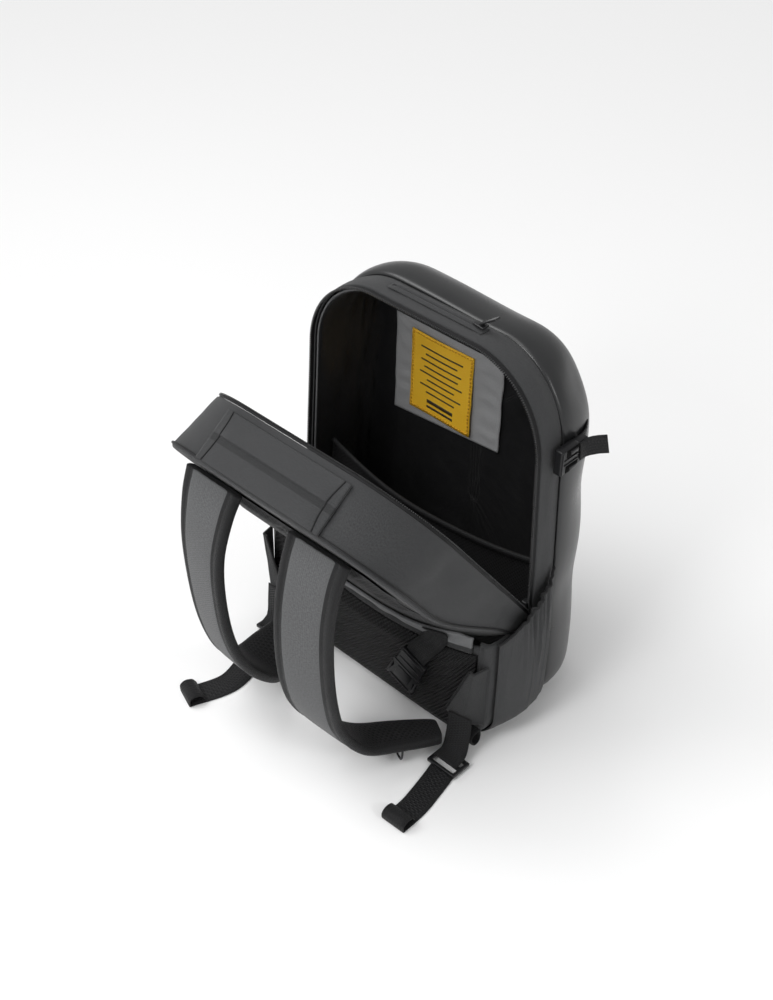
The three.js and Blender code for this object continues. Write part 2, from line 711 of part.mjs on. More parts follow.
function dRing(side) {
  const [before, seam, end] = strapStations(side).slice(-3);
  const at = vec(...seam.at);
  const wide = vec(...seam.wide).normalize();
  const along = vec(...end.at).sub(vec(...before.at)).normalize();
  const down = vec(0, 0, 0).crossVectors(along, wide).normalize();
  const { width, length, wire } = RING;
  const bow = (w, l) => [[0.5, 0], [0.5, -0.5], [0.3, -1], [-0.3, -1], [-0.5, -0.5], [-0.5, 0]]
    .map(([x, y]) => [x * w, y * l]);
  const window = bow(width - 2 * wire, length - 2 * wire).map(([x, y]) => [x, y - wire]);
  const shape = plate(bow(width, length).reverse(), wire, [window]);
  const up = down.clone().negate();
  const through = vec(0, 0, 0).crossVectors(wide, up);
  shape.applyMatrix4(new THREE.Matrix4().makeBasis(wide, up, through));
  const seat = at.addScaledVector(wide, side * RING.across).addScaledVector(down, STRAP_THICKNESS / 2 + GAP);
  shape.translate(seat.x, seat.y, seat.z);
  return shape;
}

for (const [side, name] of [[1, 'right'], [-1, 'left']]) {
  add(`d_ring_${name}`, dRing(side), 'plastic');
  add(`anchor_${name}`, anchorTab(side), 'fabric');
  add(`ladder_lock_${name}`, ladderLock(side), 'plastic');
  add(`webbing_tail_${name}`, webbingTail(side), 'black');
  add(`strap_webbing_${name}`, strapWebbing(side), 'black');
}

// Compression strap on the right: a fastened buckle over the gusset, webbing on to the shell
const BUCKLE = { start: 11, socket: 24, plug: 14, width: 26, thickness: 9 };
const PLUG_STEP = 1;
const buckleX = sideX(SIDE_STRAP_HEIGHT) + 4.2;

// Distance of the shell's side in from the bag's full width, at a depth
function shellInset(y) {
  const deep = Math.max((y - SHELL_START) / SHELL_DEPTH, 0);
  const next = SHELL_SECTION.findIndex((row) => row.deep > deep);
  const [a, b] = [SHELL_SECTION[next - 1], SHELL_SECTION[next]];
  return SHELL_EDGE * mix(a.inset, b.inset, (deep - a.deep) / (b.deep - a.deep));
}

function sideBuckle(length, width, thickness, y) {
  const body = plate(rectangle(length, width), thickness);
  body.rotateX(Math.PI / 2);
  body.rotateZ(Math.PI / 2);
  body.translate(buckleX, y, SIDE_STRAP_HEIGHT);
  return body;
}

function sideWebbing() {
  const y = BUCKLE.start + BUCKLE.socket + BUCKLE.plug + 2 * GAP;
  const off = 1.5 + WEBBING_THICKNESS;
  const points = [0, 8, 16, 22].map((run) => (
    [sideX(SIDE_STRAP_HEIGHT) - shellInset(y + run) + off, y + run, SIDE_STRAP_HEIGHT]));
  return webbing(points, [0, 0, 1], SIDE_WEBBING_WIDTH);
}

// The spare end of that webbing stands off the plug
function sideTail() {
  const y = BUCKLE.start + BUCKLE.socket + BUCKLE.plug - 4;
  const x = buckleX + BUCKLE.thickness - PLUG_STEP + GAP + WEBBING_THICKNESS / 2;
  const points = [[0, -8, 2], [1, 0, 3], [7, 6, 6], [15, 12, 8]].map(([out, run, rise]) => (
    [x + out, y + run, SIDE_STRAP_HEIGHT + rise]));
  return webbing(points, [0, 0, 1], SIDE_WEBBING_WIDTH - 2);
}

add('side_buckle_socket', sideBuckle(BUCKLE.socket, BUCKLE.width, BUCKLE.thickness,
  BUCKLE.start + BUCKLE.socket / 2), 'plastic');
add('side_buckle_plug', sideBuckle(BUCKLE.plug, BUCKLE.width - 2 * PLUG_STEP, BUCKLE.thickness - PLUG_STEP,
  BUCKLE.start + BUCKLE.socket + GAP + BUCKLE.plug / 2), 'plastic');
add('side_webbing', sideWebbing(), 'black');
add('side_webbing_tail', sideTail(), 'black');

// Zip pocket along the top of the gusset: a raised welt, a slider and its tab
function topWelt() {
  const surface = (s, t) => {
    const x = (s - 0.5) * WELT_LENGTH;
    const round = Math.sin(Math.PI * t);
    return vec(x, 0.55 * GUSSET_DEPTH + (t - 0.5) * WELT_WIDTH, HEIGHT + 1.6 + 1.2 * round);
  };
  return sheet(surface, 8, 3, 1.5);
}

add('top_welt', topWelt(), 'black');

function slider(length, width, height) {
  return plate([[-length / 2, -width * 0.35], [length / 2, -width / 2], [length / 2, width / 2],
    [-length / 2, width * 0.35]], height);
}

const TOP_SLIDER = { x: WELT_LENGTH / 2 - SLIDER_LENGTH / 2, y: 0.55 * GUSSET_DEPTH, z: HEIGHT + 4.9 };

function topSlider() {
  const shape = slider(SLIDER_LENGTH, 9, SLIDER_HEIGHT);
  shape.translate(TOP_SLIDER.x, TOP_SLIDER.y, TOP_SLIDER.z);
  return shape;
}

add('top_slider', topSlider(), 'plastic');

function pullTab() {
  const heel = -PULL_THICKNESS / 2;
  const shape = plate(rectangle(PULL_LENGTH - heel, PULL_WIDTH, (PULL_LENGTH + heel) / 2, 0), PULL_THICKNESS);
  shape.translate(0, 0, -PULL_THICKNESS / 2);
  return shape;
}

const PULL_CLEARANCE = 1.6;
const topPull = add('top_pull', pullTab(), 'plastic');
topPull.position.set(TOP_SLIDER.x + 2, TOP_SLIDER.y, TOP_SLIDER.z + SLIDER_HEIGHT + PULL_CLEARANCE);
topPull.rotation.y = -PULL_TILT;

// The main zip's slider, in the wedge where the two tapes meet on the right
function mainSlider() {
  const body = plate(rectangle(5.2, 6.6), 10);
  body.translate(HALF - 6.4, -4.7, HINGE_HEIGHT + 12);
  return body;
}

add('main_slider', mainSlider(), 'plastic');

// Short webbing from the fold strip, with a fastened buckle lying off the lumbar pad
const LUMBAR_TAB = { x: 88, width: 25 };
const PAD_FACE = -BACK_DEPTH - LUMBAR_PAD - GAP;

function lumbarWebbing() {
  const seat = -BACK_DEPTH - STRIP_LIFT - FABRIC - GAP - WEBBING_THICKNESS / 2;
  const points = [[0, 0, -1], [-4, 1.6, -9], [-9, 5.6, -18], [-14, 7, -28]].map(([across, out, rise]) => (
    [LUMBAR_TAB.x + across, seat - out, foldZ(LUMBAR_TAB.x) + rise]));
  return webbing(points, [1, 0, 0], LUMBAR_TAB.width);
}

function lumbarBuckle() {
  const half = [[16, 21], [16, 4], [19, -1], [14, -7], [19, -22], [10, -20]];
  const mirror = half.map(([x, y]) => [-x, y]).reverse();
  const shape = plate([...half, ...mirror], 7);
  shape.rotateX(Math.PI / 2 - 0.12);
  shape.rotateY(0.35);
  shape.translate(LUMBAR_TAB.x - 24, PAD_FACE - 2.9, foldZ(LUMBAR_TAB.x) - 52);
  return shape;
}

add('lumbar_webbing', lumbarWebbing(), 'black');
add('lumbar_buckle', lumbarBuckle(), 'plastic');

// Webbing loop hanging at the right base corner, beside the lumbar pad
function floorLoop() {
  const outer = [[-1, 18], [-13, 17], [-15, 8], [-9, 0], [-2, 1], [0, 9]];
  const hollow = [[-3, 15], [-11, 14.4], [-12.6, 8], [-8.4, 2.6], [-3.6, 3.4], [-2.4, 9]].reverse();
  const loop = plate(outer, 11, [hollow]);
  loop.rotateX(Math.PI / 2);
  loop.rotateZ(Math.PI / 2);
  loop.translate(HALF - 13.2, -BACK_DEPTH - GAP, TAB_LOW - 19);
  return loop;
}

add('floor_loop', floorLoop(), 'black');

// Thin strap on the lining's left wall, running down behind the mesh pocket
function innerStrap() {
  const z = HEIGHT * 0.42;
  const wall = -(sideX(z) - LINING_CLEAR - LINING_WALL);
  const points = [[4.5, 40, 0], [9, 40, 14], [34, 38, 60], [52, 34, 120]].map(([out, y, down]) => (
    [wall + out, y, z - down]));
  return webbing(points, [0, 1, 0], INNER_STRAP_WIDTH);
}

add('inner_strap', innerStrap(), 'black');

export default bag;
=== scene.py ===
# %% [markdown]
# A hard shell backpack, standing open. Its back panel is unzipped and leans out over the shoulder
# straps, so that the lining, the pockets and the straps all show. The construction comes from a
# fixed frame of plain solids. This lesson dresses that frame: every soft piece is modelled again
# as cloth, foam or webbing, in the place that its plain solid holds, and every hard piece gets a
# finish of its own. All lengths are metres: x runs across the bag, +y to the shell, z up.

# %% Load the frame
import math

import bmesh
import bpy
from mathutils import Matrix, Vector, noise


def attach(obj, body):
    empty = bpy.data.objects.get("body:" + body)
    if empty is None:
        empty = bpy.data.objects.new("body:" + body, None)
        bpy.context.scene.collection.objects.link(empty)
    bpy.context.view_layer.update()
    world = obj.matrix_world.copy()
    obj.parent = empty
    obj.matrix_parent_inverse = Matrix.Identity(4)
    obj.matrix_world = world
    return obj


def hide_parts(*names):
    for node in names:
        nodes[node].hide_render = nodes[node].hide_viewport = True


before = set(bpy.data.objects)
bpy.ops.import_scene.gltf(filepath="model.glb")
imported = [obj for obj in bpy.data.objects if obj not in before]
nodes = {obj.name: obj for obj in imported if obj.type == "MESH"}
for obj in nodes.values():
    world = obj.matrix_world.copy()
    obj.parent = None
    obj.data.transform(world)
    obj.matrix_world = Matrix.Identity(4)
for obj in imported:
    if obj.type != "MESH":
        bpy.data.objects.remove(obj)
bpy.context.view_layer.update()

# %% [markdown]
# The bag's outline is one rounded figure that many pieces share: the shell, the gusset, the
# lining, the zip tapes and the flap. So its sizes come first, and then a function that walks
# round it. The walk is counted as a share of the whole way, from the middle of the base, up the
# right side, over the top and down the left side.

# %% Sizes and outline
WIDTH, HEIGHT = 0.300, 0.400
HALF = WIDTH / 2
GUSSET_DEPTH, SHELL_DEPTH, BACK_DEPTH = 0.030, 0.069, 0.060
TOP_RADIUS, BASE_RADIUS, TAPER = 0.085, 0.038, 0.07
HINGE_HEIGHT, FOLD_HEIGHT = 0.135, 0.101
LEAN = math.radians(37)
FLAP_DEPTH, FLAP_CORNER, FOLD_BULGE = 0.060, 0.062, 0.008
FLAP_LENGTH = HEIGHT - HINGE_HEIGHT
GAP = 0.0003
LEAST_RADIUS = 0.004

RUNS = (
    ("base", HALF - BASE_RADIUS),
    ("low corner", BASE_RADIUS * math.pi / 2),
    ("side", HEIGHT - BASE_RADIUS - TOP_RADIUS),
    ("high corner", TOP_RADIUS * math.pi / 2),
    ("top", HALF - TOP_RADIUS),
)
HALF_WAY = sum(length for _, length in RUNS)


def mix(a, b, t):
    return a + (b - a) * t


def clamp(t, low=0.0, high=1.0):
    return min(max(t, low), high)


def smooth(t):
    t = clamp(t)
    return t * t * (3 - 2 * t)


def swell(t):
    """0 at both ends and 1 in the middle."""
    return math.sin(math.pi * clamp(t))


def narrow(z):
    return 1 - TAPER * smooth((z / HEIGHT - 0.2) / 0.8)


def outline(share, inset=0.0, top=TOP_RADIUS):
    """x and z on the outline, drawn in by an inset."""
    share %= 1.0
    side = 1 if share <= 0.5 else -1
    left = min(share, 1 - share) * 2 * HALF_WAY
    low = max(BASE_RADIUS - inset, LEAST_RADIUS)
    high = max(top - inset, LEAST_RADIUS)
    x_low, z_low = HALF - inset - low, inset + low
    x_high, z_high = HALF - inset - high, HEIGHT - inset - high
    for run, length in RUNS:
        if left <= length:
            break
        left -= length
    k = clamp(left / length)
    if run == "base":
        x, z = k * x_low, inset
    elif run == "low corner":
        turn = (k - 1) * math.pi / 2
        x, z = x_low + low * math.cos(turn), z_low + low * math.sin(turn)
    elif run == "side":
        x, z = HALF - inset, mix(z_low, z_high, k)
    elif run == "high corner":
        turn = k * math.pi / 2
        x, z = x_high + high * math.cos(turn), z_high + high * math.sin(turn)
    else:
        x, z = x_high * (1 - k), HEIGHT - inset
    return side * x * narrow(z), max(z, 0.0)


def share_at(height):
    """The share of the way where the right side reaches a height."""
    return (RUNS[0][1] + RUNS[1][1] + height - BASE_RADIUS) / (2 * HALF_WAY)


HINGE_SHARE = share_at(HINGE_HEIGHT)
print("outline: half way is", round(HALF_WAY, 3), "m, hinge at share", round(HINGE_SHARE, 3))

# %% [markdown]
# Cloth is easiest to make from a flat grid. Blender's grid operator gives a square of faces with
# UVs from 0 to 1, each point is moved onto the real surface, and the UVs are scaled to metres, so
# a weave keeps its real thread size. One function merges what meets and turns the faces outwards.
# Another makes the finished object: Solidify gives the wall its thickness, subdivision rounds it,
# the piece hangs from its body's empty, and the plain solids that it stands for are hidden.

# %% Helpers for sheets and pieces
BODY = "bag"
MERGE = 2e-5


def placed(name, data):
    """An object in the scene, made from its data."""
    obj = bpy.data.objects.new(name, data)
    bpy.context.scene.collection.objects.link(obj)
    return obj


def grid(surface, columns, rows, size):
    """A flat grid set on surface(s, t), both from 0 to 1, with its UVs scaled to a size."""
    bm = bmesh.new()
    uv = bm.loops.layers.uv.new("UVMap")
    bmesh.ops.create_grid(bm, x_segments=columns, y_segments=rows, size=0.5, calc_uvs=True)
    for face in bm.faces:
        for loop in face.loops:
            loop[uv].uv = (loop[uv].uv.x * size[0], loop[uv].uv.y * size[1])
    for vert in bm.verts:
        vert.co = surface(vert.co.x + 0.5, vert.co.y + 0.5)
    return bm


def joined(*parts):
    """One bmesh out of several, each with its own UVs and material numbers."""
    whole = parts[0]
    for part in parts[1:]:
        carrier = bpy.data.meshes.new("carrier")
        part.to_mesh(carrier)
        whole.from_mesh(carrier)
        bpy.data.meshes.remove(carrier)
        part.free()
    return whole


def tint(bm, index, rule=lambda face: True):
    """Gives the faces that a rule picks another material number."""
    for face in bm.faces:
        if rule(face):
            face.material_index = index
    return bm


def outward(bm, inside):
    """Turns the faces away from a point or, where inside is a function, from inside(centre)."""
    bmesh.ops.remove_doubles(bm, verts=bm.verts, dist=MERGE)
    bmesh.ops.recalc_face_normals(bm, faces=bm.faces)
    total = 0.0
    for face in bm.faces:
        centre = face.calc_center_median()
        origin = inside(centre) if callable(inside) else inside
        total += face.normal.dot(centre - origin) * face.calc_area()
    if total < 0:
        bmesh.ops.reverse_faces(bm, faces=bm.faces)
    return bm


def thickened(bm, thickness):
    """Gives an open sheet its wall at once, so that a hem can be joined to it."""
    bmesh.ops.solidify(bm, geom=bm.faces[:], thickness=thickness)
    bmesh.ops.recalc_face_normals(bm, faces=bm.faces)
    return bm


def block(matrix):
    """A cube of side 1, brought into place and size by a matrix."""
    bm = bmesh.new()
    bmesh.ops.create_cube(bm, size=1.0)
    bmesh.ops.transform(bm, matrix=matrix, verts=bm.verts)
    return bm


def nearest(points, place):
    return min(points, key=lambda p: (Vector(p) - place).length)


def uv_middle(bm, axis):
    """A function that gives a face's mean U, for axis 0, or mean V, for axis 1."""
    uv = bm.loops.layers.uv.active
    return lambda face: sum(loop[uv].uv[axis] for loop in face.loops) / len(face.loops)


def piece(name, bm, materials, replaces=(), wall=0.0, levels=0, body=BODY):
    """The finished object, with its inner side in the lining's finish where that comes last."""
    mesh = bpy.data.meshes.new(name)
    for face in bm.faces:
        face.smooth = True
    bm.to_mesh(mesh)
    bm.free()
    for material in materials:
        mesh.materials.append(material)
    obj = placed(name, mesh)
    if wall:
        thick = obj.modifiers.new("wall", "SOLIDIFY")
        thick.thickness = wall
        thick.offset = -1
        thick.use_rim = True
        if len(materials) > 1 and materials[-1] is lining_cloth:
            thick.material_offset = len(materials) - 1
    if levels:
        finer = obj.modifiers.new("finer", "SUBSURF")
        finer.levels = finer.render_levels = levels
    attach(obj, body)
    if replaces:
        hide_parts(*replaces)
    print("made", name)
    return obj


def table(rows, t):
    """A smooth curve through evenly spaced rows of numbers."""
    place = clamp(t) * (len(rows) - 1)
    i = min(int(place), len(rows) - 2)
    f = place - i
    a, b, c, d = (rows[clamp(k, 0, len(rows) - 1)] for k in (i - 1, i, i + 1, i + 2))
    return [0.5 * (2 * q + (r - p) * f + (2 * p - 5 * q + 4 * r - s) * f * f
                   + (3 * q - p - 3 * r + s) * f ** 3) for p, q, r, s in zip(a, b, c, d)]


def ruffle(point, scale, depth, seed):
    """Smooth random height for folds, from a noise of a given feature size."""
    return depth * noise.noise(Vector(point) / scale + Vector((seed, 3.1 * seed, 7.7)))


def sweep(path, section, columns, rows, size):
    """A tube of a section that may change, along path(t) -> (centre, across, out)."""

    def surface(s, t):
        centre, across, out = path(t)
        a, b = section(s, t)
        return centre + across * a + out * b

    bm = grid(surface, columns, rows, size)
    bmesh.ops.remove_doubles(bm, verts=bm.verts, dist=1e-6)
    bmesh.ops.holes_fill(bm, edges=[e for e in bm.edges if e.is_boundary], sides=columns + 2)
    return bm


def ahead_of(rows, t):
    """The way that a curve runs at t, from just before to just after."""
    return Vector(table(rows, min(t + 0.01, 1))[:3]) - Vector(table(rows, max(t - 0.01, 0))[:3])


SLANT = Vector((0.13, 0.31, 0.94))


def cord_path(points):
    """Centre, across and out along a curve that never runs along the slant."""
    rows = [tuple(p) for p in points]

    def path(t):
        ahead = ahead_of(rows, t).normalized()
        across = ahead.cross(SLANT).normalized()
        return Vector(table(rows, t)), across, ahead.cross(across)

    return path


def strand(points, radius, sides, steps, flat=1.0):
    """A round strand along points, closed at its ends."""

    def ring(s, t):
        turn = 2 * math.pi * s
        return radius * math.cos(turn), flat * radius * math.sin(turn)

    return sweep(cord_path(points), ring, sides, steps, (2 * math.pi * radius, 0.1))


def cord(points, radius, steps, flat=1.0):
    """A strand turned outwards, for bindings, piping and rows of stitches."""
    return outward(strand(points, radius, 8, steps, flat), lambda centre: nearest(points, centre))


print("helpers ready, for pieces on the body", BODY)

# %% [markdown]
# Materials come before the pieces. Most of this bag is cloth, so three shader groups are built
# once and used again: a weave with its over and under threads, a soft mottle of light and dark
# yarn, and the round holes of a spacer mesh. Each group puts out masks and heights only; the
# Principled shader stays in each material.

# %% Shader groups
def group(name, inputs, outputs):
    """An empty shader group, with its input and output nodes."""
    tree = bpy.data.node_groups.new(name, "ShaderNodeTree")
    for label, kind, value in inputs:
        socket = tree.interface.new_socket(name=label, in_out="INPUT", socket_type=kind)
        if value is not None:
            socket.default_value = value
    for label, kind in outputs:
        tree.interface.new_socket(name=label, in_out="OUTPUT", socket_type=kind)
    return tree, tree.nodes.new("NodeGroupInput"), tree.nodes.new("NodeGroupOutput")


def maths(tree, operation, a, b=None):
    """One Math node, where a and b are numbers or sockets."""
    node = tree.nodes.new("ShaderNodeMath")
    node.operation = operation
    for socket, value in zip(node.inputs, (a, b)):
        if value is None:
            continue
        if isinstance(value, (int, float)):
            socket.default_value = value
        else:
            tree.links.new(value, socket)
    return node.outputs[0]


def weave_group():
    tree, given, out = group("weave", (
        ("Vector", "NodeSocketVector", None), ("Threads", "NodeSocketFloat", 2000.0)),
        (("Height", "NodeSocketFloat"), ("Thread", "NodeSocketFloat")))
    spread = tree.nodes.new("ShaderNodeVectorMath")
    spread.operation = "SCALE"
    tree.links.new(given.outputs["Vector"], spread.inputs[0])
    tree.links.new(given.outputs["Threads"], spread.inputs["Scale"])
    parts = tree.nodes.new("ShaderNodeSeparateXYZ")
    tree.links.new(spread.outputs[0], parts.inputs[0])
    ridge_x, ridge_y = (
        maths(tree, "ABSOLUTE", maths(tree, "SINE", maths(tree, "MULTIPLY", axis, math.pi)))
        for axis in parts.outputs[:2])
    checker = tree.nodes.new("ShaderNodeTexChecker")
    tree.links.new(spread.outputs[0], checker.inputs["Vector"])
    checker.inputs["Scale"].default_value = 1.0
    over = checker.outputs["Fac"]
    under = maths(tree, "SUBTRACT", 1.0, over)
    height = maths(tree, "ADD", maths(tree, "MULTIPLY", ridge_x, over),
                   maths(tree, "MULTIPLY", ridge_y, under))
    tree.links.new(height, out.inputs["Height"])
    tree.links.new(over, out.inputs["Thread"])
    return tree


def mottle_group():
    tree, given, out = group("mottle", (
        ("Vector", "NodeSocketVector", None), ("Fine", "NodeSocketFloat", 900.0),
        ("Broad", "NodeSocketFloat", 25.0)),
        (("Fine", "NodeSocketFloat"), ("Broad", "NodeSocketFloat")))
    for label, detail in (("Fine", 3.0), ("Broad", 4.0)):
        cloud = tree.nodes.new("ShaderNodeTexNoise")
        cloud.inputs["Detail"].default_value = detail
        tree.links.new(given.outputs["Vector"], cloud.inputs["Vector"])
        tree.links.new(given.outputs[label], cloud.inputs["Scale"])
        tree.links.new(cloud.outputs["Fac"], out.inputs[label])
    return tree


def holes_group():
    tree, given, out = group("mesh holes", (
        ("Vector", "NodeSocketVector", None), ("Holes", "NodeSocketFloat", 400.0),
        ("Size", "NodeSocketFloat", 0.3)), (("Hole", "NodeSocketFloat"),))
    cells = tree.nodes.new("ShaderNodeTexVoronoi")
    cells.voronoi_dimensions = "2D"
    cells.inputs["Randomness"].default_value = 0.0
    tree.links.new(given.outputs["Vector"], cells.inputs["Vector"])
    tree.links.new(given.outputs["Holes"], cells.inputs["Scale"])
    edge = tree.nodes.new("ShaderNodeMapRange")
    edge.interpolation_type = "SMOOTHSTEP"
    edge.inputs["To Min"].default_value = 1.0
    edge.inputs["To Max"].default_value = 0.0
    tree.links.new(cells.outputs["Distance"], edge.inputs["Value"])
    tree.links.new(given.outputs["Size"], edge.inputs["From Min"])
    tree.links.new(maths(tree, "ADD", given.outputs["Size"], 0.14), edge.inputs["From Max"])
    tree.links.new(edge.outputs["Result"], out.inputs["Hole"])
    return tree


WEAVE, MOTTLE, HOLES = weave_group(), mottle_group(), holes_group()
print("shader groups:", WEAVE.name, MOTTLE.name, HOLES.name)

# %% [markdown]
# A cloth material reads the piece's own UVs, in metres. The yarn's colour wavers between a dark
# and a light value, the weave gives a fine bump and a broad noise makes the cloth look handled.
# Sheen stands for the fuzz that brightens cloth at a grazing angle, and its value is plain.

# %% Cloth materials
def start(name):
    """A new material with its node tree and its Principled shader."""
    material = bpy.data.materials.new(name)
    material.use_nodes = True
    tree = material.node_tree
    shader = tree.nodes["Principled BSDF"]
    return material, tree, shader


def finish(shader, **values):
    """Plain values on the shader's own sockets, with _ for each space in a socket's name."""
    for label, value in values.items():
        shader.inputs[label.replace("_", " ")].default_value = value


def place_group(tree, source, vector, **values):
    """A shader group in a material, with values of its own."""
    node = tree.nodes.new("ShaderNodeGroup")
    node.node_tree = source
    tree.links.new(vector, node.inputs["Vector"])
    for label, value in values.items():
        node.inputs[label].default_value = value
    return node


def colour_mix(tree, factor, dark, light):
    """A blend of two colours, each a triple or a socket."""
    blend = tree.nodes.new("ShaderNodeMix")
    blend.data_type = "RGBA"
    tree.links.new(factor, blend.inputs["Factor"])
    for socket, value in ((blend.inputs["A"], dark), (blend.inputs["B"], light)):
        if hasattr(value, "is_linked"):
            tree.links.new(value, socket)
        else:
            socket.default_value = (*value, 1.0)
    return blend.outputs["Result"]


def relief(tree, shader, layers):
    """Bumps one over another: each layer is a height and its depth in metres."""
    last = None
    for height, depth in layers:
        bump = tree.nodes.new("ShaderNodeBump")
        bump.inputs["Distance"].default_value = depth
        tree.links.new(height, bump.inputs["Height"])
        if last:
            tree.links.new(last, bump.inputs["Normal"])
        last = bump.outputs["Normal"]
    tree.links.new(last, shader.inputs["Normal"])


def stretch(tree, value, low, high, floor, top):
    """A value from low to high, spread over floor to top."""
    spread = tree.nodes.new("ShaderNodeMapRange")
    for label, number in (("From Min", low), ("From Max", high), ("To Min", floor), ("To Max", top)):
        spread.inputs[label].default_value = number
    tree.links.new(value, spread.inputs["Value"])
    return spread.outputs["Result"]


def uv_of(tree):
    return tree.nodes.new("ShaderNodeTexCoord").outputs["UV"]


NOISE_SPAN = (0.3, 0.7)


def cloth(name, dark, light, threads=1400.0, rough=(0.72, 0.88), sheen=0.12, rumple=0.0006,
          weave=0.00012):
    material, tree, shader = start(name)
    vector = uv_of(tree)
    woven = place_group(tree, WEAVE, vector, Threads=threads)
    mottled = place_group(tree, MOTTLE, vector)
    yarn = maths(tree, "ADD", maths(tree, "MULTIPLY", mottled.outputs["Fine"], 0.75),
                 maths(tree, "MULTIPLY", woven.outputs["Height"], 0.25))
    tone = stretch(tree, yarn, 0.3, 0.75, 0.0, 1.0)
    broad = stretch(tree, mottled.outputs["Broad"], *NOISE_SPAN, 0.82, 1.0)
    base = colour_mix(tree, tone, dark, light)
    worn = colour_mix(tree, broad, [0.7 * v for v in dark], base)
    tree.links.new(worn, shader.inputs["Base Color"])
    dull = stretch(tree, mottled.outputs["Broad"], *NOISE_SPAN, *rough)
    tree.links.new(dull, shader.inputs["Roughness"])
    finish(shader, Sheen_Weight=sheen, Sheen_Roughness=0.5, Specular_IOR_Level=0.3)
    relief(tree, shader, ((mottled.outputs["Broad"], rumple), (woven.outputs["Height"], weave)))
    return material


outer_cloth = cloth("charcoal_cloth", (0.018, 0.0185, 0.0195), (0.058, 0.059, 0.061))
strap_cloth = cloth("strap_face_cloth", (0.050, 0.051, 0.053), (0.125, 0.127, 0.130), threads=1100.0)
fold_cloth = cloth("pale_fold_cloth", (0.12, 0.122, 0.126), (0.24, 0.243, 0.248), threads=1500.0)
dark_cloth = cloth("dark_gusset_cloth", (0.012, 0.012, 0.013), (0.034, 0.035, 0.036), threads=1500.0)
lining_cloth = cloth("black_satin_lining", (0.004, 0.004, 0.0045), (0.009, 0.009, 0.010),
                     threads=3500.0, rough=(0.34, 0.46), sheen=0.1, rumple=0.0012, weave=0.00003)
panel_cloth = cloth("gray_lining_panel", (0.27, 0.272, 0.277), (0.42, 0.423, 0.430),
                    threads=2600.0, rough=(0.45, 0.6), sheen=0.1, rumple=0.0012, weave=0.00005)
binding_cloth = cloth("black_binding", (0.004, 0.004, 0.0045), (0.012, 0.012, 0.013),
                      threads=1800.0, rough=(0.5, 0.62), sheen=0.03)


def webbing_material():
    """Woven band: fine ribs across it, with a twill along its edges."""
    material, tree, shader = start("black_webbing")
    vector = uv_of(tree)
    woven = place_group(tree, WEAVE, vector, Threads=900.0)
    mottled = place_group(tree, MOTTLE, vector, Fine=1400.0)
    tone = stretch(tree, mottled.outputs["Fine"], *NOISE_SPAN, 0.0, 1.0)
    base = colour_mix(tree, tone, (0.004, 0.004, 0.0045), (0.015, 0.015, 0.016))
    tree.links.new(base, shader.inputs["Base Color"])
    finish(shader, Roughness=0.55, Sheen_Weight=0.04, Specular_IOR_Level=0.25)
    relief(tree, shader, ((woven.outputs["Height"], 0.0004), (mottled.outputs["Fine"], 0.0001)))
    return material


RIB_SLANT = 1.28


def spacer_mesh(name, holes, ribs=0.0):
    """Knitted mesh with rows of round holes and, on the lumbar pad, slanting ribs."""
    material, tree, shader = start(name)
    vector = uv_of(tree)
    turned = tree.nodes.new("ShaderNodeMapping")
    turned.inputs["Rotation"].default_value = (0, 0, math.radians(45))
    tree.links.new(vector, turned.inputs["Vector"])
    hole = place_group(tree, HOLES, turned.outputs["Vector"], Holes=holes, Size=0.26)
    mottled = place_group(tree, MOTTLE, vector)
    pale = colour_mix(tree, mottled.outputs["Fine"], (0.007, 0.007, 0.0075), (0.026, 0.026, 0.0275))
    # The holes are painted near black: painted shade in their recesses.
    base = colour_mix(tree, hole.outputs["Hole"], pale, (0.002, 0.002, 0.002))
    layers = [(maths(tree, "SUBTRACT", 1.0, hole.outputs["Hole"]), 0.0008)]
    if ribs:
        parts = tree.nodes.new("ShaderNodeSeparateXYZ")
        tree.links.new(vector, parts.inputs[0])
        across = maths(tree, "MULTIPLY", parts.outputs[0], RIB_SLANT)
        along = maths(tree, "SUBTRACT", across, parts.outputs[1])
        wave = maths(tree, "SINE", maths(tree, "MULTIPLY", along, 2 * math.pi / ribs))
        layers.insert(0, (wave, 0.0012))
        shade = stretch(tree, wave, -1.0, 0.6, 0.35, 1.0)
        base = colour_mix(tree, shade, (0.004, 0.004, 0.004), base)
    tree.links.new(base, shader.inputs["Base Color"])
    finish(shader, Roughness=0.62, Sheen_Weight=0.03, Specular_IOR_Level=0.3)
    relief(tree, shader, layers)
    return material


webbing_cloth = webbing_material()
air_mesh = spacer_mesh("black_air_mesh", 260.0)
rib_mesh = spacer_mesh("ribbed_lumbar_mesh", 330.0, ribs=0.0062)
pocket_mesh = spacer_mesh("perforated_pocket_mesh", 330.0)
print("cloth materials:", len(bpy.data.materials))
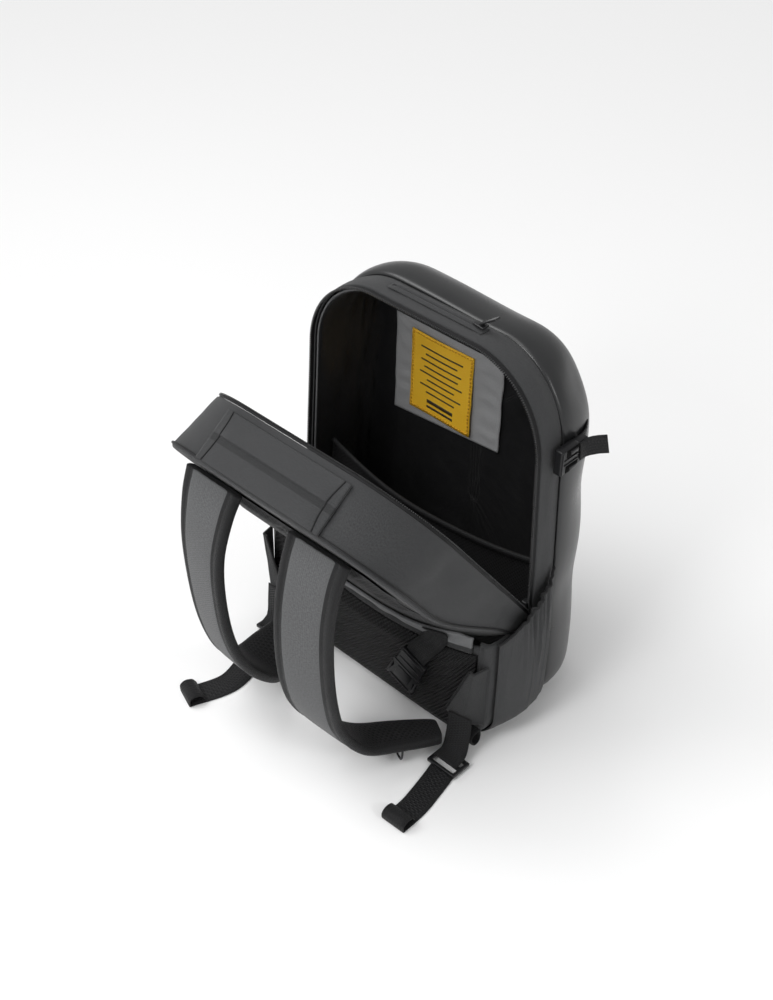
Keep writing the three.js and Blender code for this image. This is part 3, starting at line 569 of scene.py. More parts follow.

# %% [markdown]
# The hard pieces need moulded finishes. The shell is a satin plastic with a fine grain and a
# little wear; the buckles are a smoother acetal, with painted shade in their windows; the zip's
# teeth and sliders are black enamel. Their patterns read Object coordinates, because a frame
# solid has no UVs of its own.

# %% Plastic and metal materials
def moulded(name, dark, light, rough, grain, grain_depth, coat=0.0, shine=0.5):
    """A hard finish: broad patches of tone and gloss over a fine grain, its depth in metres."""
    material, tree, shader = start(name)
    vector = tree.nodes.new("ShaderNodeTexCoord").outputs["Object"]
    mottled = place_group(tree, MOTTLE, vector, Fine=grain, Broad=18.0)
    broad = mottled.outputs["Broad"]
    base = colour_mix(tree, stretch(tree, broad, *NOISE_SPAN, 0.0, 1.0), dark, light)
    tree.links.new(base, shader.inputs["Base Color"])
    tree.links.new(stretch(tree, broad, *NOISE_SPAN, *rough), shader.inputs["Roughness"])
    finish(shader, Specular_IOR_Level=shine, Coat_Weight=coat, Coat_Roughness=0.3)
    relief(tree, shader, ((mottled.outputs["Fine"], grain_depth),))
    return material


shell_plastic = moulded("satin_shell", (0.013, 0.0135, 0.014), (0.020, 0.0205, 0.0215),
                        (0.27, 0.36), 2600.0, 0.00005, coat=0.06)
acetal = moulded("black_acetal", (0.008, 0.008, 0.009), (0.014, 0.014, 0.015),
                 (0.22, 0.34), 3000.0, 0.00003, shine=0.28)
window_shade = moulded("buckle_window_shade", (0.002, 0.002, 0.002), (0.004, 0.004, 0.004),
                       (0.8, 0.9), 3000.0, 0.00003, shine=0.1)
enamel = moulded("black_enamel", (0.010, 0.010, 0.011), (0.020, 0.020, 0.021),
                 (0.22, 0.32), 4000.0, 0.00001)


def label_material():
    """Yellow printed cloth. The lines on it are plain rules, with no lettering."""
    material, tree, shader = start("yellow_label")
    vector = uv_of(tree)
    woven = place_group(tree, WEAVE, vector, Threads=2200.0)
    mottled = place_group(tree, MOTTLE, vector, Broad=30.0)
    base = colour_mix(tree, mottled.outputs["Broad"], (0.93, 0.50, 0.020), (1.0, 0.62, 0.035))
    tree.links.new(base, shader.inputs["Base Color"])
    finish(shader, Roughness=0.55)
    relief(tree, shader, ((mottled.outputs["Broad"], 0.001), (woven.outputs["Height"], 0.00008)))
    return material


label_cloth = label_material()
thread = moulded("yellow_thread", (0.60, 0.30, 0.012), (0.75, 0.40, 0.02), (0.6, 0.7), 2000.0, 0.00003)
rule_ink, ink_tree, ink_shader = start("dark_rule_ink")
ink_mottle = place_group(ink_tree, MOTTLE, uv_of(ink_tree))
ink = colour_mix(ink_tree, ink_mottle.outputs["Fine"], (0.03, 0.022, 0.01), (0.05, 0.035, 0.015))
ink_tree.links.new(ink, ink_shader.inputs["Base Color"])
print("all materials:", len(bpy.data.materials))

# %% [markdown]
# The stage is a pale floor under a large soft light, as in a product photograph. The camera
# stands to the right of the wearer's side and looks down on the open bag. Its place was worked
# out from the bag's own corners, so the render and the photograph can be laid over each other.

# %% Stage, light and camera
FLOOR_SIZE, FLOOR_TONE = 4.0, 0.90
SENSOR, LENS = 36.0, 54.006
CAMERA_PLACE = (0.7459, -0.85103, 1.10175)
CAMERA_RIGHT = Vector((0.7227961, 0.6907441, 0.0209370))
CAMERA_UP = Vector((-0.4451196, 0.4421715, 0.7786867))
WORLD_STRENGTH = 0.46
SUN_FROM, SUN_POWER, SUN_SPREAD = (-0.5, -0.55, 1.25), 1.6, 60
SOFTBOXES = (
    ("top_left_softbox", (-0.9, -0.5, 1.5), (0, 0, 0.2), 0.7, 5),
    ("right_softbox", (1.5, -0.1, 1.0), (0, 0, 0.2), 0.35, 4),
    ("opening_softbox", (0.1, -1.2, 1.1), (0, 0.05, 0.25), 0.4, 6),
)


def add_stage():
    bm = bmesh.new()
    bmesh.ops.create_grid(bm, x_segments=2, y_segments=2, size=FLOOR_SIZE)
    mesh = bpy.data.meshes.new("floor")
    bm.to_mesh(mesh)
    bm.free()
    material, _, shader = start("pale_floor")
    finish(shader, Base_Color=(FLOOR_TONE, FLOOR_TONE, FLOOR_TONE, 1), Roughness=0.9)
    mesh.materials.append(material)
    placed("floor", mesh)


def add_world():
    world = bpy.data.worlds.new("studio")
    world.use_nodes = True
    background = world.node_tree.nodes["Background"]
    background.inputs["Color"].default_value = (1, 1, 1, 1)
    background.inputs["Strength"].default_value = WORLD_STRENGTH
    bpy.context.scene.world = world
    bpy.context.scene.view_settings.view_transform = "Standard"


def add_lights():
    sun = bpy.data.lights.new("wide_key", "SUN")
    sun.energy, sun.angle = SUN_POWER, math.radians(SUN_SPREAD)
    placed("wide_key", sun).rotation_euler = Vector(SUN_FROM).to_track_quat("Z", "Y").to_euler()
    for name, place, aim, size, power in SOFTBOXES:
        light = bpy.data.lights.new(name, "AREA")
        light.shape, light.size, light.energy = "SQUARE", size, power
        obj = placed(name, light)
        obj.location = place
        obj.rotation_euler = (Vector(aim) - Vector(place)).to_track_quat("-Z", "Y").to_euler()


def add_camera():
    data = bpy.data.cameras.new("camera")
    data.sensor_width, data.lens = SENSOR, LENS
    camera = placed("camera", data)
    back = CAMERA_RIGHT.cross(CAMERA_UP)
    turn = Matrix((CAMERA_RIGHT, CAMERA_UP, back)).transposed().to_4x4()
    camera.matrix_world = Matrix.Translation(CAMERA_PLACE) @ turn
    bpy.context.scene.camera = camera


add_stage()
add_world()
add_lights()
add_camera()
print("stage ready:", len(bpy.data.lights), "lights and a lens of", LENS, "mm")

# %% [markdown]
# The shell is one moulded skin: a wide soft edge, nearly flat front and a scatter of shallow
# dents. A lathe can't make this figure, so a grid is wrapped round the outline and its rows are
# pulled in by a section table, from the seam to the front. The last rows are drawn onto the
# bag's middle line, where both sides meet and the skin closes. A dent is a place in shares of
# the bag's size, a radius, a depth and the way it is pushed, by a bell curve as a knock does.

# %% Hard shell
SHELL_START = GUSSET_DEPTH + GAP
SHELL_EDGE = 0.048
SHELL_SECTION = (
    (0.0, 0.05), (0.0, 0.0), (0.05, -0.05), (0.2, -0.07), (0.4, -0.03), (0.58, 0.07), (0.74, 0.22),
    (0.87, 0.44), (0.96, 0.72), (1.0, 1.05), (1.02, 1.6), (1.03, 2.2), (1.03, 2.65), (1.03, 2.95),
)
CLOSING = 0.06
DENTS = (
    (0.43, 0.55, 0.9, 0.10, 0.007, (-0.8, 0, -0.6)), (0.5, 0.4, 0.33, 0.13, 0.006, (-1, 0, 0)),
    (0.5, 0.75, 0.62, 0.10, 0.004, (-0.8, -0.6, 0)), (-0.5, 0.5, 0.5, 0.14, 0.006, (1, 0, 0)),
    (0.17, 0.45, 1.0, 0.2, 0.004, (0, 0, -1)), (-0.1, 1.0, 0.72, 0.16, 0.007, (0, -1, 0)),
    (0.22, 1.0, 0.42, 0.17, 0.008, (0, -1, 0)), (-0.25, 1.0, 0.25, 0.13, 0.006, (0, -1, 0)),
)
MIDDLE = Vector((0, 0.02, 0.2))


def dented(point):
    """A point moved by all the dents, each by a bell curve of its distance."""
    moved = point.copy()
    for x, y, z, radius, deep, push in DENTS:
        centre = Vector((x * WIDTH, SHELL_START + y * SHELL_DEPTH, z * HEIGHT))
        near = math.exp(-((point - centre).length / (radius * WIDTH)) ** 2)
        moved += Vector(push) * deep * near
    return moved


def shell_point(share, t):
    """The moulded skin, with t from the seam to the middle line."""
    deep, inset = table(SHELL_SECTION, t)
    x, z = outline(share, inset * SHELL_EDGE)
    x *= clamp((1 - t) / CLOSING)
    return dented(Vector((x, SHELL_START + deep * SHELL_DEPTH, z)))


def make_shell():
    bm = grid(shell_point, 128, 39, (2 * HALF_WAY, 0.16))
    piece("moulded_shell", outward(bm, MIDDLE), [shell_plastic], ["shell"],
          wall=0.0025, levels=1)


make_shell()

# %% [markdown]
# The gusset and the lower box are soft cloth sewn to the shell's edge. The cloth is pulled tight
# over the corners and hangs in shallow folds between them. It is made as three sheets: the ring
# behind the rim, the lower box below the fold line, and the flat wall behind the lumbar pad.
# Solidify gives the wall, and its inner side takes the lining's finish.

# %% Gusset and lower box
BODY_SECTION = ((-1.0, 0.011), (-0.94, 0.0035), (-0.82, 0.0006), (-0.4, 0.0), (0.0, 0.0))
GUSSET_SECTION = ((0.0, 0.0), (0.25, -0.0008), (0.5, -0.0012), (0.8, 0.0004), (1.0, 0.0022))


def fold_z(x):
    """The fold line's height, lowest in the middle."""
    return mix(FOLD_HEIGHT, HINGE_HEIGHT, min((x / HALF) ** 2, 1))


def cloth_fold(point, depth):
    """Shallow drags in hanging cloth, long upwards and narrow across."""
    return ruffle((point.x * 0.8, point.y * 2.2, point.z * 0.55), 0.03, depth, 2.0)


def gusset_point(share, t):
    """Tight at both seams, and sagging in shallow folds between them."""
    place, inset = table(GUSSET_SECTION, t)
    x, z = outline(share, inset)
    point = Vector((x, place * GUSSET_DEPTH, z))
    sag = swell(t) * (0.0006 + cloth_fold(point, 0.0016))
    x, z = outline(share, inset + sag)
    return Vector((x, place * GUSSET_DEPTH, z))


def box_point(s, t):
    """The lower box's sides and floor, from one end of the fold line to the other."""
    share = mix(-HINGE_SHARE, HINGE_SHARE, s)
    place, inset = table(BODY_SECTION, t)
    x, z = outline(share, inset)
    point = Vector((x, place * BACK_DEPTH, z))
    high = smooth((z - 0.02) / 0.05)
    x, z = outline(share, inset + high * abs(cloth_fold(point, 0.002)))
    return Vector((x, place * BACK_DEPTH, z))


def back_wall_point(s, t):
    """The flat wall behind the lumbar pad, up to the fold line."""
    x = (2 * s - 1) * (HALF - 0.009)
    low = 0.010 + 0.02 * max(abs(x) - 0.11, 0) / 0.03
    return Vector((x, -BACK_DEPTH + 0.0002, mix(low, fold_z(x), t)))


def make_body_wall():
    ring = grid(gusset_point, 160, 10, (2 * HALF_WAY, GUSSET_DEPTH))
    box = grid(box_point, 90, 16, (2 * HALF_WAY * 2 * HINGE_SHARE, BACK_DEPTH))
    back = grid(back_wall_point, 40, 16, (WIDTH, 0.11))
    bm = joined(ring, box, back)
    return piece("gusset_and_lower_box", outward(bm, MIDDLE), [outer_cloth, lining_cloth],
                 ["body_wall"], wall=0.0022)


body_wall_obj = make_body_wall()

# %% [markdown]
# The lining is a loose satin tray inside the shell. Loose satin creases where it is pulled from
# two corners, so narrow ridges run up its side walls and a few cross the far wall. The ridges
# come from a noise whose zero line is kept sharp, stretched along the way the cloth is pulled.
# The gray panel and the label are sewn to its far wall.

# %% Lining
MM = 0.001
LINING_CLEAR, LINING_BACK = 0.005, 0.0875
LINING_SECTION = ((0.01, 0.0), (0.3, 0.0), (0.6, 0.02), (0.8, 0.1), (0.93, 0.27), (1.0, 0.6),
                  (1.0, 1.0), (1.0, 1.4), (1.0, 1.9), (1.0, 2.4), (1.0, 2.85))


def crease(x, y, z, seed, width=0.35):
    """1 along narrow crests and 0 away from them."""
    value = abs(noise.noise(Vector((x + seed, y - seed, z + 2 * seed))))
    return max(1 - value / width, 0) ** 2


def lining_point(share, t):
    """Creases run up the side walls, and fainter ones cross the far wall."""
    place, inset = table(LINING_SECTION, t)
    x, z = outline(share, LINING_CLEAR + inset * SHELL_EDGE)
    far = smooth((place - 0.8) / 0.2)
    edge = smooth(place / 0.12)
    side = crease(x * 3, place * 5.5 - z * 2.5, z * 5, 1.0) * 0.0045 * edge * (1 - far)
    back = crease(x * 14 + z * 5, 0.3, z * 12 - x * 5, 4.0) * 0.0009 * far
    x, z = outline(share, LINING_CLEAR + inset * SHELL_EDGE + side)
    moved = dented(Vector((x, place * LINING_BACK, z)))
    return Vector((moved.x, place * LINING_BACK - back, moved.z))


def make_lining():
    bm = grid(lining_point, 176, 44, (2 * HALF_WAY, 0.22))
    bmesh.ops.remove_doubles(bm, verts=bm.verts, dist=1e-5)
    middle = [e for e in bm.edges if e.is_boundary and e.verts[0].co.y > LINING_BACK / 2]
    bmesh.ops.holes_fill(bm, edges=middle, sides=0)
    return piece("satin_lining", outward(bm, MIDDLE), [lining_cloth], ["lining"], wall=0.0013)


FAR_WALL = LINING_BACK - 0.0018
PANEL_WIDTH, LABEL_WIDTH, LABEL_HEIGHT = 0.138, 0.080, 0.092
BEHIND = Vector((0, 1.0, 0.3))


def panel_point(s, t):
    """The gray panel, with a wave, pleats and puckers along its sewn sides."""
    x = -0.135 * WIDTH + (s - 0.5) * PANEL_WIDTH
    z = HEIGHT * mix(0.52 + 0.03 * s, 0.82, t)
    wave = 0.8 * math.sin(9 * s + 5 * t) * swell(s) * swell(t)
    inner = min(8 * min(s, 1 - s, t, 1 - t), 1)
    pleat = 1.0 * crease(x * 16 + z * 6, 0.5, z * 14, 9.0) * inner
    near_side = smooth(abs(2 * s - 1) * 2.2 - 1.1)
    drift = 2.5 * noise.noise(Vector((x * 40, 0, z * 25)))
    pucker = 0.9 * near_side * math.sin(z * 330 + drift) * inner
    x += 0.0012 * noise.noise(Vector((s * 2, 4.0, z * 45))) * near_side
    return Vector((x, FAR_WALL + (-2.3 + 0.6 * wave - pleat - pucker) * MM, z))


def hem_point(s, t):
    """A bound hem along the panel's top edge, a little proud of it."""
    return panel_point(s, mix(0.955, 1.0, t)) - Vector((0, 0.0012, 0))


def make_panel():
    bm = outward(grid(panel_point, 60, 54, (PANEL_WIDTH, 0.12)), BEHIND)
    bm = joined(bm, tint(grid(hem_point, 60, 3, (PANEL_WIDTH, 0.006)), 1))
    return piece("lining_pocket_panel", outward(bm, BEHIND), [panel_cloth, binding_cloth],
                 ["lining_panel"], wall=0.0011)


def label_point(s, t, lift=0.0):
    """The label in front of the panel, slightly curled."""
    x = -0.155 * WIDTH + (s - 0.5) * LABEL_WIDTH
    z = HEIGHT * 0.785 - (1 - t) * LABEL_HEIGHT
    curl = 0.6 * MM * math.sin(5 * s + 2.5 * t)
    x += 0.0005 * noise.noise(Vector((s * 2, 1.0, t * 6))) * (2 * s - 1)
    return Vector((x, FAR_WALL - 5.3 * MM + curl - lift, z))


RULES = ((0.16, 0.84, 0.84, 0.020), (0.24, 0.76, 0.76, 0.020), (0.17, 0.83, 0.68, 0.020),
         (0.22, 0.78, 0.60, 0.020), (0.15, 0.85, 0.52, 0.020), (0.27, 0.73, 0.44, 0.020),
         (0.16, 0.84, 0.36, 0.020), (0.26, 0.74, 0.28, 0.020), (0.28, 0.72, 0.17, 0.045),
         (0.28, 0.72, 0.10, 0.030))


def make_label():
    bm = grid(label_point, 20, 22, (LABEL_WIDTH, LABEL_HEIGHT))
    for left, right, height, thick in RULES:
        rule = grid(lambda s, t: label_point(mix(left, right, s), height + thick * (t - 0.5), 0.00012),
                    20, 1, (LABEL_WIDTH * (right - left), thick * LABEL_HEIGHT))
        bm = joined(bm, tint(rule, 1))
    corners = [(0.03, 0.03), (0.97, 0.03), (0.97, 0.97), (0.03, 0.97), (0.03, 0.03)]
    for (s0, t0), (s1, t1) in zip(corners, corners[1:]):
        row = [label_point(mix(s0, s1, i / 40), mix(t0, t1, i / 40), 0.0002) for i in range(41)]
        for i in range(0, 40, 2):
            bm = joined(bm, tint(strand(row[i:i + 2], 0.0003, 5, 2), 2))
    return piece("plain_ruled_label", outward(bm, BEHIND), [label_cloth, rule_ink, thread],
                 ["label"], wall=0.0006)


lining_obj = make_lining()
panel_obj = make_panel()
label_obj = make_label()

# %% [markdown]
# A perforated pocket stands across the foot of the lining, and a thin strap runs down behind it.
# The pocket is one sheet with a bound top edge. The strap shows how every band of webbing here is
# made: a flat profile with rounded edges is swept along a curve through a few points, and turned
# so that its width keeps to a given direction.

# %% Mesh pocket, and how webbing is swept
def side_x(z):
    """x of the bag's straight right side at a height."""
    return outline(share_at(clamp(z, BASE_RADIUS, HEIGHT - TOP_RADIUS)))[0]


POCKET_AT, POCKET_TOP, POCKET_SAG = 0.020, 0.166, 0.006


def pocket_point(s, t):
    """Across the lining from wall to wall, a little higher at both ends of its top edge."""
    x = 2 * s - 1
    z = mix(BASE_RADIUS * 0.95, POCKET_TOP + 0.12 * HALF * x * x, t)
    wall = (side_x(z) - LINING_CLEAR - 0.0016) * (1 if x >= 0 else -1)
    reach = abs(dented(Vector((wall, POCKET_AT, z))).x) - 0.0035
    sag = 0.0016 * math.sin(7 * s + 3 * t) * swell(s)
    return Vector((x * reach, POCKET_AT - POCKET_SAG * swell(s) * t + sag * t, z))


def make_mesh_pocket():
    bm = thickened(outward(grid(pocket_point, 60, 24, (0.28, 0.13)), BEHIND), 0.0012)
    edge = [pocket_point(i / 30, 1.0) for i in range(31)]
    bm = joined(bm, tint(cord(edge, 0.0018, 90, flat=1.7), 1))
    return piece("perforated_pocket", bm, [pocket_mesh, binding_cloth], ["mesh_pocket"])


BAND = (
    (-0.5, -0.12), (-0.5, 0.12), (-0.485, 0.38), (-0.45, 0.5), (-0.4, 0.42), (-0.36, 0.5),
    (-0.12, 0.5), (0.12, 0.5), (0.36, 0.5), (0.4, 0.42), (0.45, 0.5), (0.485, 0.38), (0.5, 0.12),
    (0.5, -0.12), (0.485, -0.38), (0.45, -0.5), (0.4, -0.42), (0.36, -0.5), (0.12, -0.5),
    (-0.12, -0.5), (-0.36, -0.5), (-0.4, -0.42), (-0.45, -0.5), (-0.485, -0.38),
)


def route(points, wides):
    """Centre, width direction and thickness direction along stations."""
    rows = [(*point, *wide) for point, wide in zip(points, wides)]

    def path(t):
        row = table(rows, t)
        ahead = ahead_of(rows, t)
        wide = Vector(row[3:]).normalized()
        thick = ahead.cross(wide).normalized()
        return Vector(row[:3]), thick.cross(ahead).normalized(), thick

    return path


WAY_ROUND = 2.1


def band(points, wide, width, thickness=0.0015, profile=BAND, steps=None, floor=0.0):
    """Webbing or a strap: points in metres, width a number or one number per point.

    Its UVs count the way round it as a little over two widths.
    """
    wides = wide if isinstance(wide[0], (tuple, list, Vector)) else [wide] * len(points)
    widths = width if isinstance(width, (list, tuple)) else [width] * len(points)
    length = sum((Vector(b) - Vector(a)).length for a, b in zip(points, points[1:]))
    columns = len(profile)

    def section(s, t):
        a, b = profile[round(s * columns) % columns]
        return a * table([(w,) for w in widths], t)[0], b * thickness

    steps = steps or max(8, int(length / 0.004))
    size = (WAY_ROUND * max(widths), length)
    bm = sweep(route(points, wides), section, columns, steps, size)
    for vert in bm.verts:
        vert.co.z = max(vert.co.z, floor)
    return outward(bm, lambda centre: nearest(points, centre))


def scaled(points, x=0.0, z=0.0):
    """Points in millimetres, from a place on x and z, given back in metres."""
    return [Vector((x + a, b, z + c)) * MM for a, b, c in points]


def webbing(name, node, points, wide, width, **more):
    """A band of webbing that stands for one node."""
    piece(name, band(points, wide, width, **more), [webbing_cloth], [node])


def make_inner_strap():
    z = HEIGHT * 0.42
    wall = -(side_x(z) - LINING_CLEAR - 0.0015) / MM
    points = scaled([(4.5, 40, 0), (9, 40, -14), (34, 38, -60), (52, 34, -120)], wall, z / MM)
    webbing("inner_strap_webbing", "inner_strap", points, (0, 1, 0), 0.012)


pocket_obj = make_mesh_pocket()
make_inner_strap()

# %% [markdown]
# The back panel is a shallow tray of padded cloth, hinged along a soft fold at the bottom. Its
# frame has two directions: u runs up the leaning panel and v goes out from the zip. The section
# table gives each row's share of the depth and its inset in millimetres. Every row is stretched
# to end on the fold line, and the last ones meet on the middle line, so the panel's back closes
# without a cap. The walls fall in towards the hinge, because nothing holds them up there, and
# the cloth has soft dimples. Piping marks its edge, as on the real seam.

# %% Leaning back panel
FLAP_U = Vector((0, -math.sin(LEAN), math.cos(LEAN)))
FLAP_V = Vector((0, -math.cos(LEAN), -math.sin(LEAN)))
FLAP_SECTION = (
    (0, 0), (0.12, -0.3), (0.35, -0.6), (0.7, -0.4), (0.93, 0.6), (0.985, 2.6), (1, 6), (1, 16),
    (1, 30), (1, 46), (1, 62), (1, 78), (1, 92), (1, 106), (1, 120), (1, 138),
)


def flap_point(x, u, v):
    """A place in the leaning panel's own frame."""
    return Vector((x, 0, HINGE_HEIGHT)) + FLAP_U * u + FLAP_V * v


def flap_depth(x, u):
    """The panel's depth, where its walls fall in and its middle settles at the fold."""
    share = min(abs(x / HALF), 1)
    collapse = 0.62 * share ** 3 * (1 - smooth(u / (FLAP_LENGTH * 0.6)))
    settle = FOLD_BULGE * (1 - share ** 2) * (1 - smooth(u / (FLAP_LENGTH * 0.35)))
    return FLAP_DEPTH * (1 - collapse) + settle


def at_fold(x, v):
    """The u where the fold line cuts the panel off."""
    return max((fold_z(x) + 2 * GAP - HINGE_HEIGHT + v * math.sin(LEAN)) / math.cos(LEAN), 2 * GAP)


def panel_place(share, t, lift=0.0):
    """The panel's skin at a share of the outline and a row t, with a lift for its piping."""
    deep, inset = table(FLAP_SECTION, t)
    deep = clamp(deep)
    inset = inset * MM - lift
    corner = mix(TOP_RADIUS, FLAP_CORNER, deep)
    x, z = outline(share, inset, corner)
    u = z - HINGE_HEIGHT
    v = deep * flap_depth(x, u)
    dimple = swell(deep) * (ruffle((x * 0.8, u * 0.9, v * 1.3), 0.05, 0.0050, 5.0)
                           + 0.0022 * crease(x * 9, u * 9, v * 16, 3.0, 0.3))
    inset += max(dimple, -0.0005)
    x, z = outline(share, inset, corner)
    x *= clamp((1 - t) / CLOSING)
    foot, top = outline(HINGE_SHARE, inset, corner)[1], HEIGHT - inset
    u = mix(at_fold(x, v), top - HINGE_HEIGHT, (z - foot) / (top - foot))
    v = deep * flap_depth(x, u)
    return flap_point(x, u, v + (lift if deep > 0.97 else 0))


def flap_surface(s, t):
    return panel_place(mix(HINGE_SHARE, 1 - HINGE_SHARE, s), t)


def make_flap():
    bm = grid(flap_surface, 150, 60, (2 * HALF_WAY * (1 - 2 * HINGE_SHARE), 0.2))
    return piece("padded_back_panel", outward(bm, flap_point(0, FLAP_LENGTH * 0.6, 0.02)),
                 [outer_cloth, lining_cloth], ["flap"], wall=0.0023)


def make_piping():
    back = [panel_place(mix(HINGE_SHARE, 1 - HINGE_SHARE, i / 80), 0.27, 0.0008)
            for i in range(81)]
    piece("back_panel_piping", cord(back, 0.0013, 240), [binding_cloth])


flap_obj = make_flap()
make_piping()

# %% [markdown]
# The main zip has two tapes, one on the rim and one on the panel's edge. Each is a narrow woven
# band with a coil of teeth along its free edge, and both narrow towards the hinge, where they
# meet. The teeth are one block set along the path, small enough that they read as a fine ribbed
# line.

# %% Zip tapes and teeth
ZIP_FIRST, ZIP_LAST = HINGE_SHARE + 0.006, 1 - HINGE_SHARE - 0.006
TAPE_COLUMNS, TOOTH_COUNT = 110, 330
TOOTH_SIZE = (0.0011, 0.0024, 0.0013)
RIM_TAPE, PANEL_TAPE = 0.006, 0.004


def tape_width(full, share, least):
    """A tape's width, which shrinks towards the hinge."""
    z = outline(share, 0.0006)[1]
    return max(min(full, 0.27 * (z - HINGE_HEIGHT)), least)


def make_tooth(place, full, share):
    """One tooth, with its length across the tape's free edge."""
    width = tape_width(full, share, 0.0012)
    here = place(*outline(share, 0.0006), width)
    along = (place(*outline(share + 0.0004, 0.0006), width) - here).normalized()
    inwards = (place(*outline(share, 0.0030), width) - here).normalized()
    ways = (along, inwards, along.cross(inwards))
    turn = Matrix([way * size for way, size in zip(ways, TOOTH_SIZE)]).transposed().to_4x4()
    centre = place(*outline(share, 0.0012), width - 0.0004)
    tooth = block(Matrix.Translation(centre) @ turn)
    bmesh.ops.recalc_face_normals(tooth, faces=tooth.faces)
    return tint(tooth, 1)


def make_tape(name, place, full, node, inside):
    """A tape set on place(x, z, out), with its row of teeth."""

    def surface(s, t):
        share = mix(ZIP_FIRST, ZIP_LAST, round(s * TAPE_COLUMNS) / TAPE_COLUMNS)
        x, z = outline(share, 0.0010 + 0.0003 * math.sin(math.pi * t))
        return place(x, z, mix(GAP, tape_width(full, share, 0.0009), t))

    length = 2 * HALF_WAY * (1 - 2 * HINGE_SHARE)
    bm = outward(grid(surface, TAPE_COLUMNS, 3, (length, full)), inside)
    for i in range(TOOTH_COUNT):
        share = mix(ZIP_FIRST, ZIP_LAST, (i + 0.5) / TOOTH_COUNT)
        bm = joined(bm, make_tooth(place, full, share))
    piece(name, bm, [binding_cloth, enamel], [node])


def make_rim_highlight_piping():
    """Thin piping along the rim's inner edge, pale as a painted highlight of that edge."""
    edge = []
    for i in range(121):
        x, z = outline(mix(HINGE_SHARE + 0.01, 1 - HINGE_SHARE - 0.01, i / 120), 0.0052)
        edge.append(Vector((x, 0.0006, z)))
    # The pale cloth is a painted highlight along the edge.
    piece("rim_highlight_piping", cord(edge, 0.0009, 300), [fold_cloth])


make_rim_highlight_piping()
make_tape("rim_zip_tape", lambda x, z, out: Vector((x, -out, z)), RIM_TAPE, "rim_tape", MIDDLE)
make_tape("panel_zip_tape", lambda x, z, out: flap_point(x, z - HINGE_HEIGHT, -out), PANEL_TAPE,
          "flap_tape", flap_point(0, 0.13, 0.03))

# %% [markdown]
# Two pads cushion the wearer's back. The upper one is spacer mesh over foam, quilted into soft
# blocks; the lower one is thick in the middle, thin along its sewn edge, and ribbed on a slant.
# Both are swelled out of a flat grid, a sewn edge pulled down all round, with the back face flat.

# %% Back pads
PAD_SHARE, PAD_LOW, PAD_HIGH = 0.72, 0.40, 0.84
ON_PANEL = 0.0019
LUMBAR_THICK = 0.0087


def cushion(front, back, columns, rows, size):
    """A pad: a swelled front over a flat back, closed along its edge."""

    def face(s, t):
        return front(s, t, min(smooth(10 * min(s, 1 - s)), smooth(8 * min(t, 1 - t))))

    return joined(grid(face, columns, rows, size), grid(back, columns, rows, size))


def back_pad_span(s, t):
    """x, u and the v of the panel's cloth, under the upper pad."""
    x = (2 * s - 1) * HALF * PAD_SHARE
    u = mix(PAD_LOW, PAD_HIGH, t) * FLAP_LENGTH
    return x, u, flap_depth(x, u) + ON_PANEL


def back_pad_front(s, t, rise):
    x, u, on = back_pad_span(s, t)
    channel = 0.35 * math.exp(-((s - 0.5) / 0.03) ** 2)
    quilt = 1 - channel - 0.25 * abs(math.sin(3 * math.pi * t)) ** 8
    return flap_point(x, u, on + 0.006 * max(rise * quilt, 0.02))


def back_pad_back(s, t):
    return flap_point(*back_pad_span(s, t))


def lumbar_span(s, t):
    """x and z on the lumbar pad, whose foot rises at both corners."""
    x = (2 * s - 1) * (HALF - 0.014)
    foot = 0.004 * (1 + 1.5 * abs(2 * s - 1) ** 6)
    return x, mix(foot, fold_z(x) - 0.010, t)


def lumbar_front(s, t, rise):
    x, z = lumbar_span(s, t)
    soft = 1 + 0.08 * noise.noise(Vector((x * 18, z * 22, 2.0)))
    return Vector((x, -BACK_DEPTH - GAP - LUMBAR_THICK * mix(0.3, soft, rise), z))


def lumbar_back(s, t):
    x, z = lumbar_span(s, t)
    return Vector((x, -BACK_DEPTH - GAP, z))


def make_pads():
    upper = cushion(back_pad_front, back_pad_back, 64, 44, (0.216, 0.117))
    lower = cushion(lumbar_front, lumbar_back, 150, 64, (0.272, 0.11))

    def in_upper(centre):
        along = (centre.z - HINGE_HEIGHT) / math.cos(LEAN) * 0.5 + 0.11
        return flap_point(centre.x, along, 0.055)

    def in_lower(centre):
        return Vector((centre.x, -BACK_DEPTH - 0.003, centre.z))

    return (piece("back_mesh_pad", outward(upper, in_upper), [air_mesh], ["back_pad"]),
            piece("lumbar_mesh_pad", outward(lower, in_lower), [rib_mesh], ["lumbar_pad"]))


back_pad_obj, lumbar_pad_obj = make_pads()

# %% [markdown]
# A folded strip covers the seam between the leaning panel and the lumbar pad. Its light cloth is
# puckered where it bends, and its lower edge is a darker band. Above it, on the panel's top wall,
# a wide band of cloth is folded over into a grab handle and sewn down at both ends. A dark band
# just below the handle's fold line is painted shade under the fold.

# %% Fold strip and grab handle
OFF_BACK = 0.0006


def strip_point(s, t):
    """Down the lumbar side first, then over the fold and up the leaning panel."""
    x = (2 * s - 1) * (HALF - 0.020)
    along = mix(-0.008, 0.018, t)
    seat = fold_z(x) - HINGE_HEIGHT + flap_depth(x, 0) * math.sin(LEAN)
    u = seat / math.cos(LEAN) + along
    on_flap = flap_point(x, u, flap_depth(x, u) + ON_PANEL)
    rear = -BACK_DEPTH - OFF_BACK
    pucker = 0.0024 + 0.0016 * swell(t) * (0.5 + noise.noise(Vector((x * 60, t * 2.0, 1.5))))
    if along <= 0:
        return Vector((x, rear - pucker, fold_z(x) + along))
    return Vector((x, min(rear, on_flap.y) - pucker, max(on_flap.z, fold_z(x) + min(along, 0.001))))


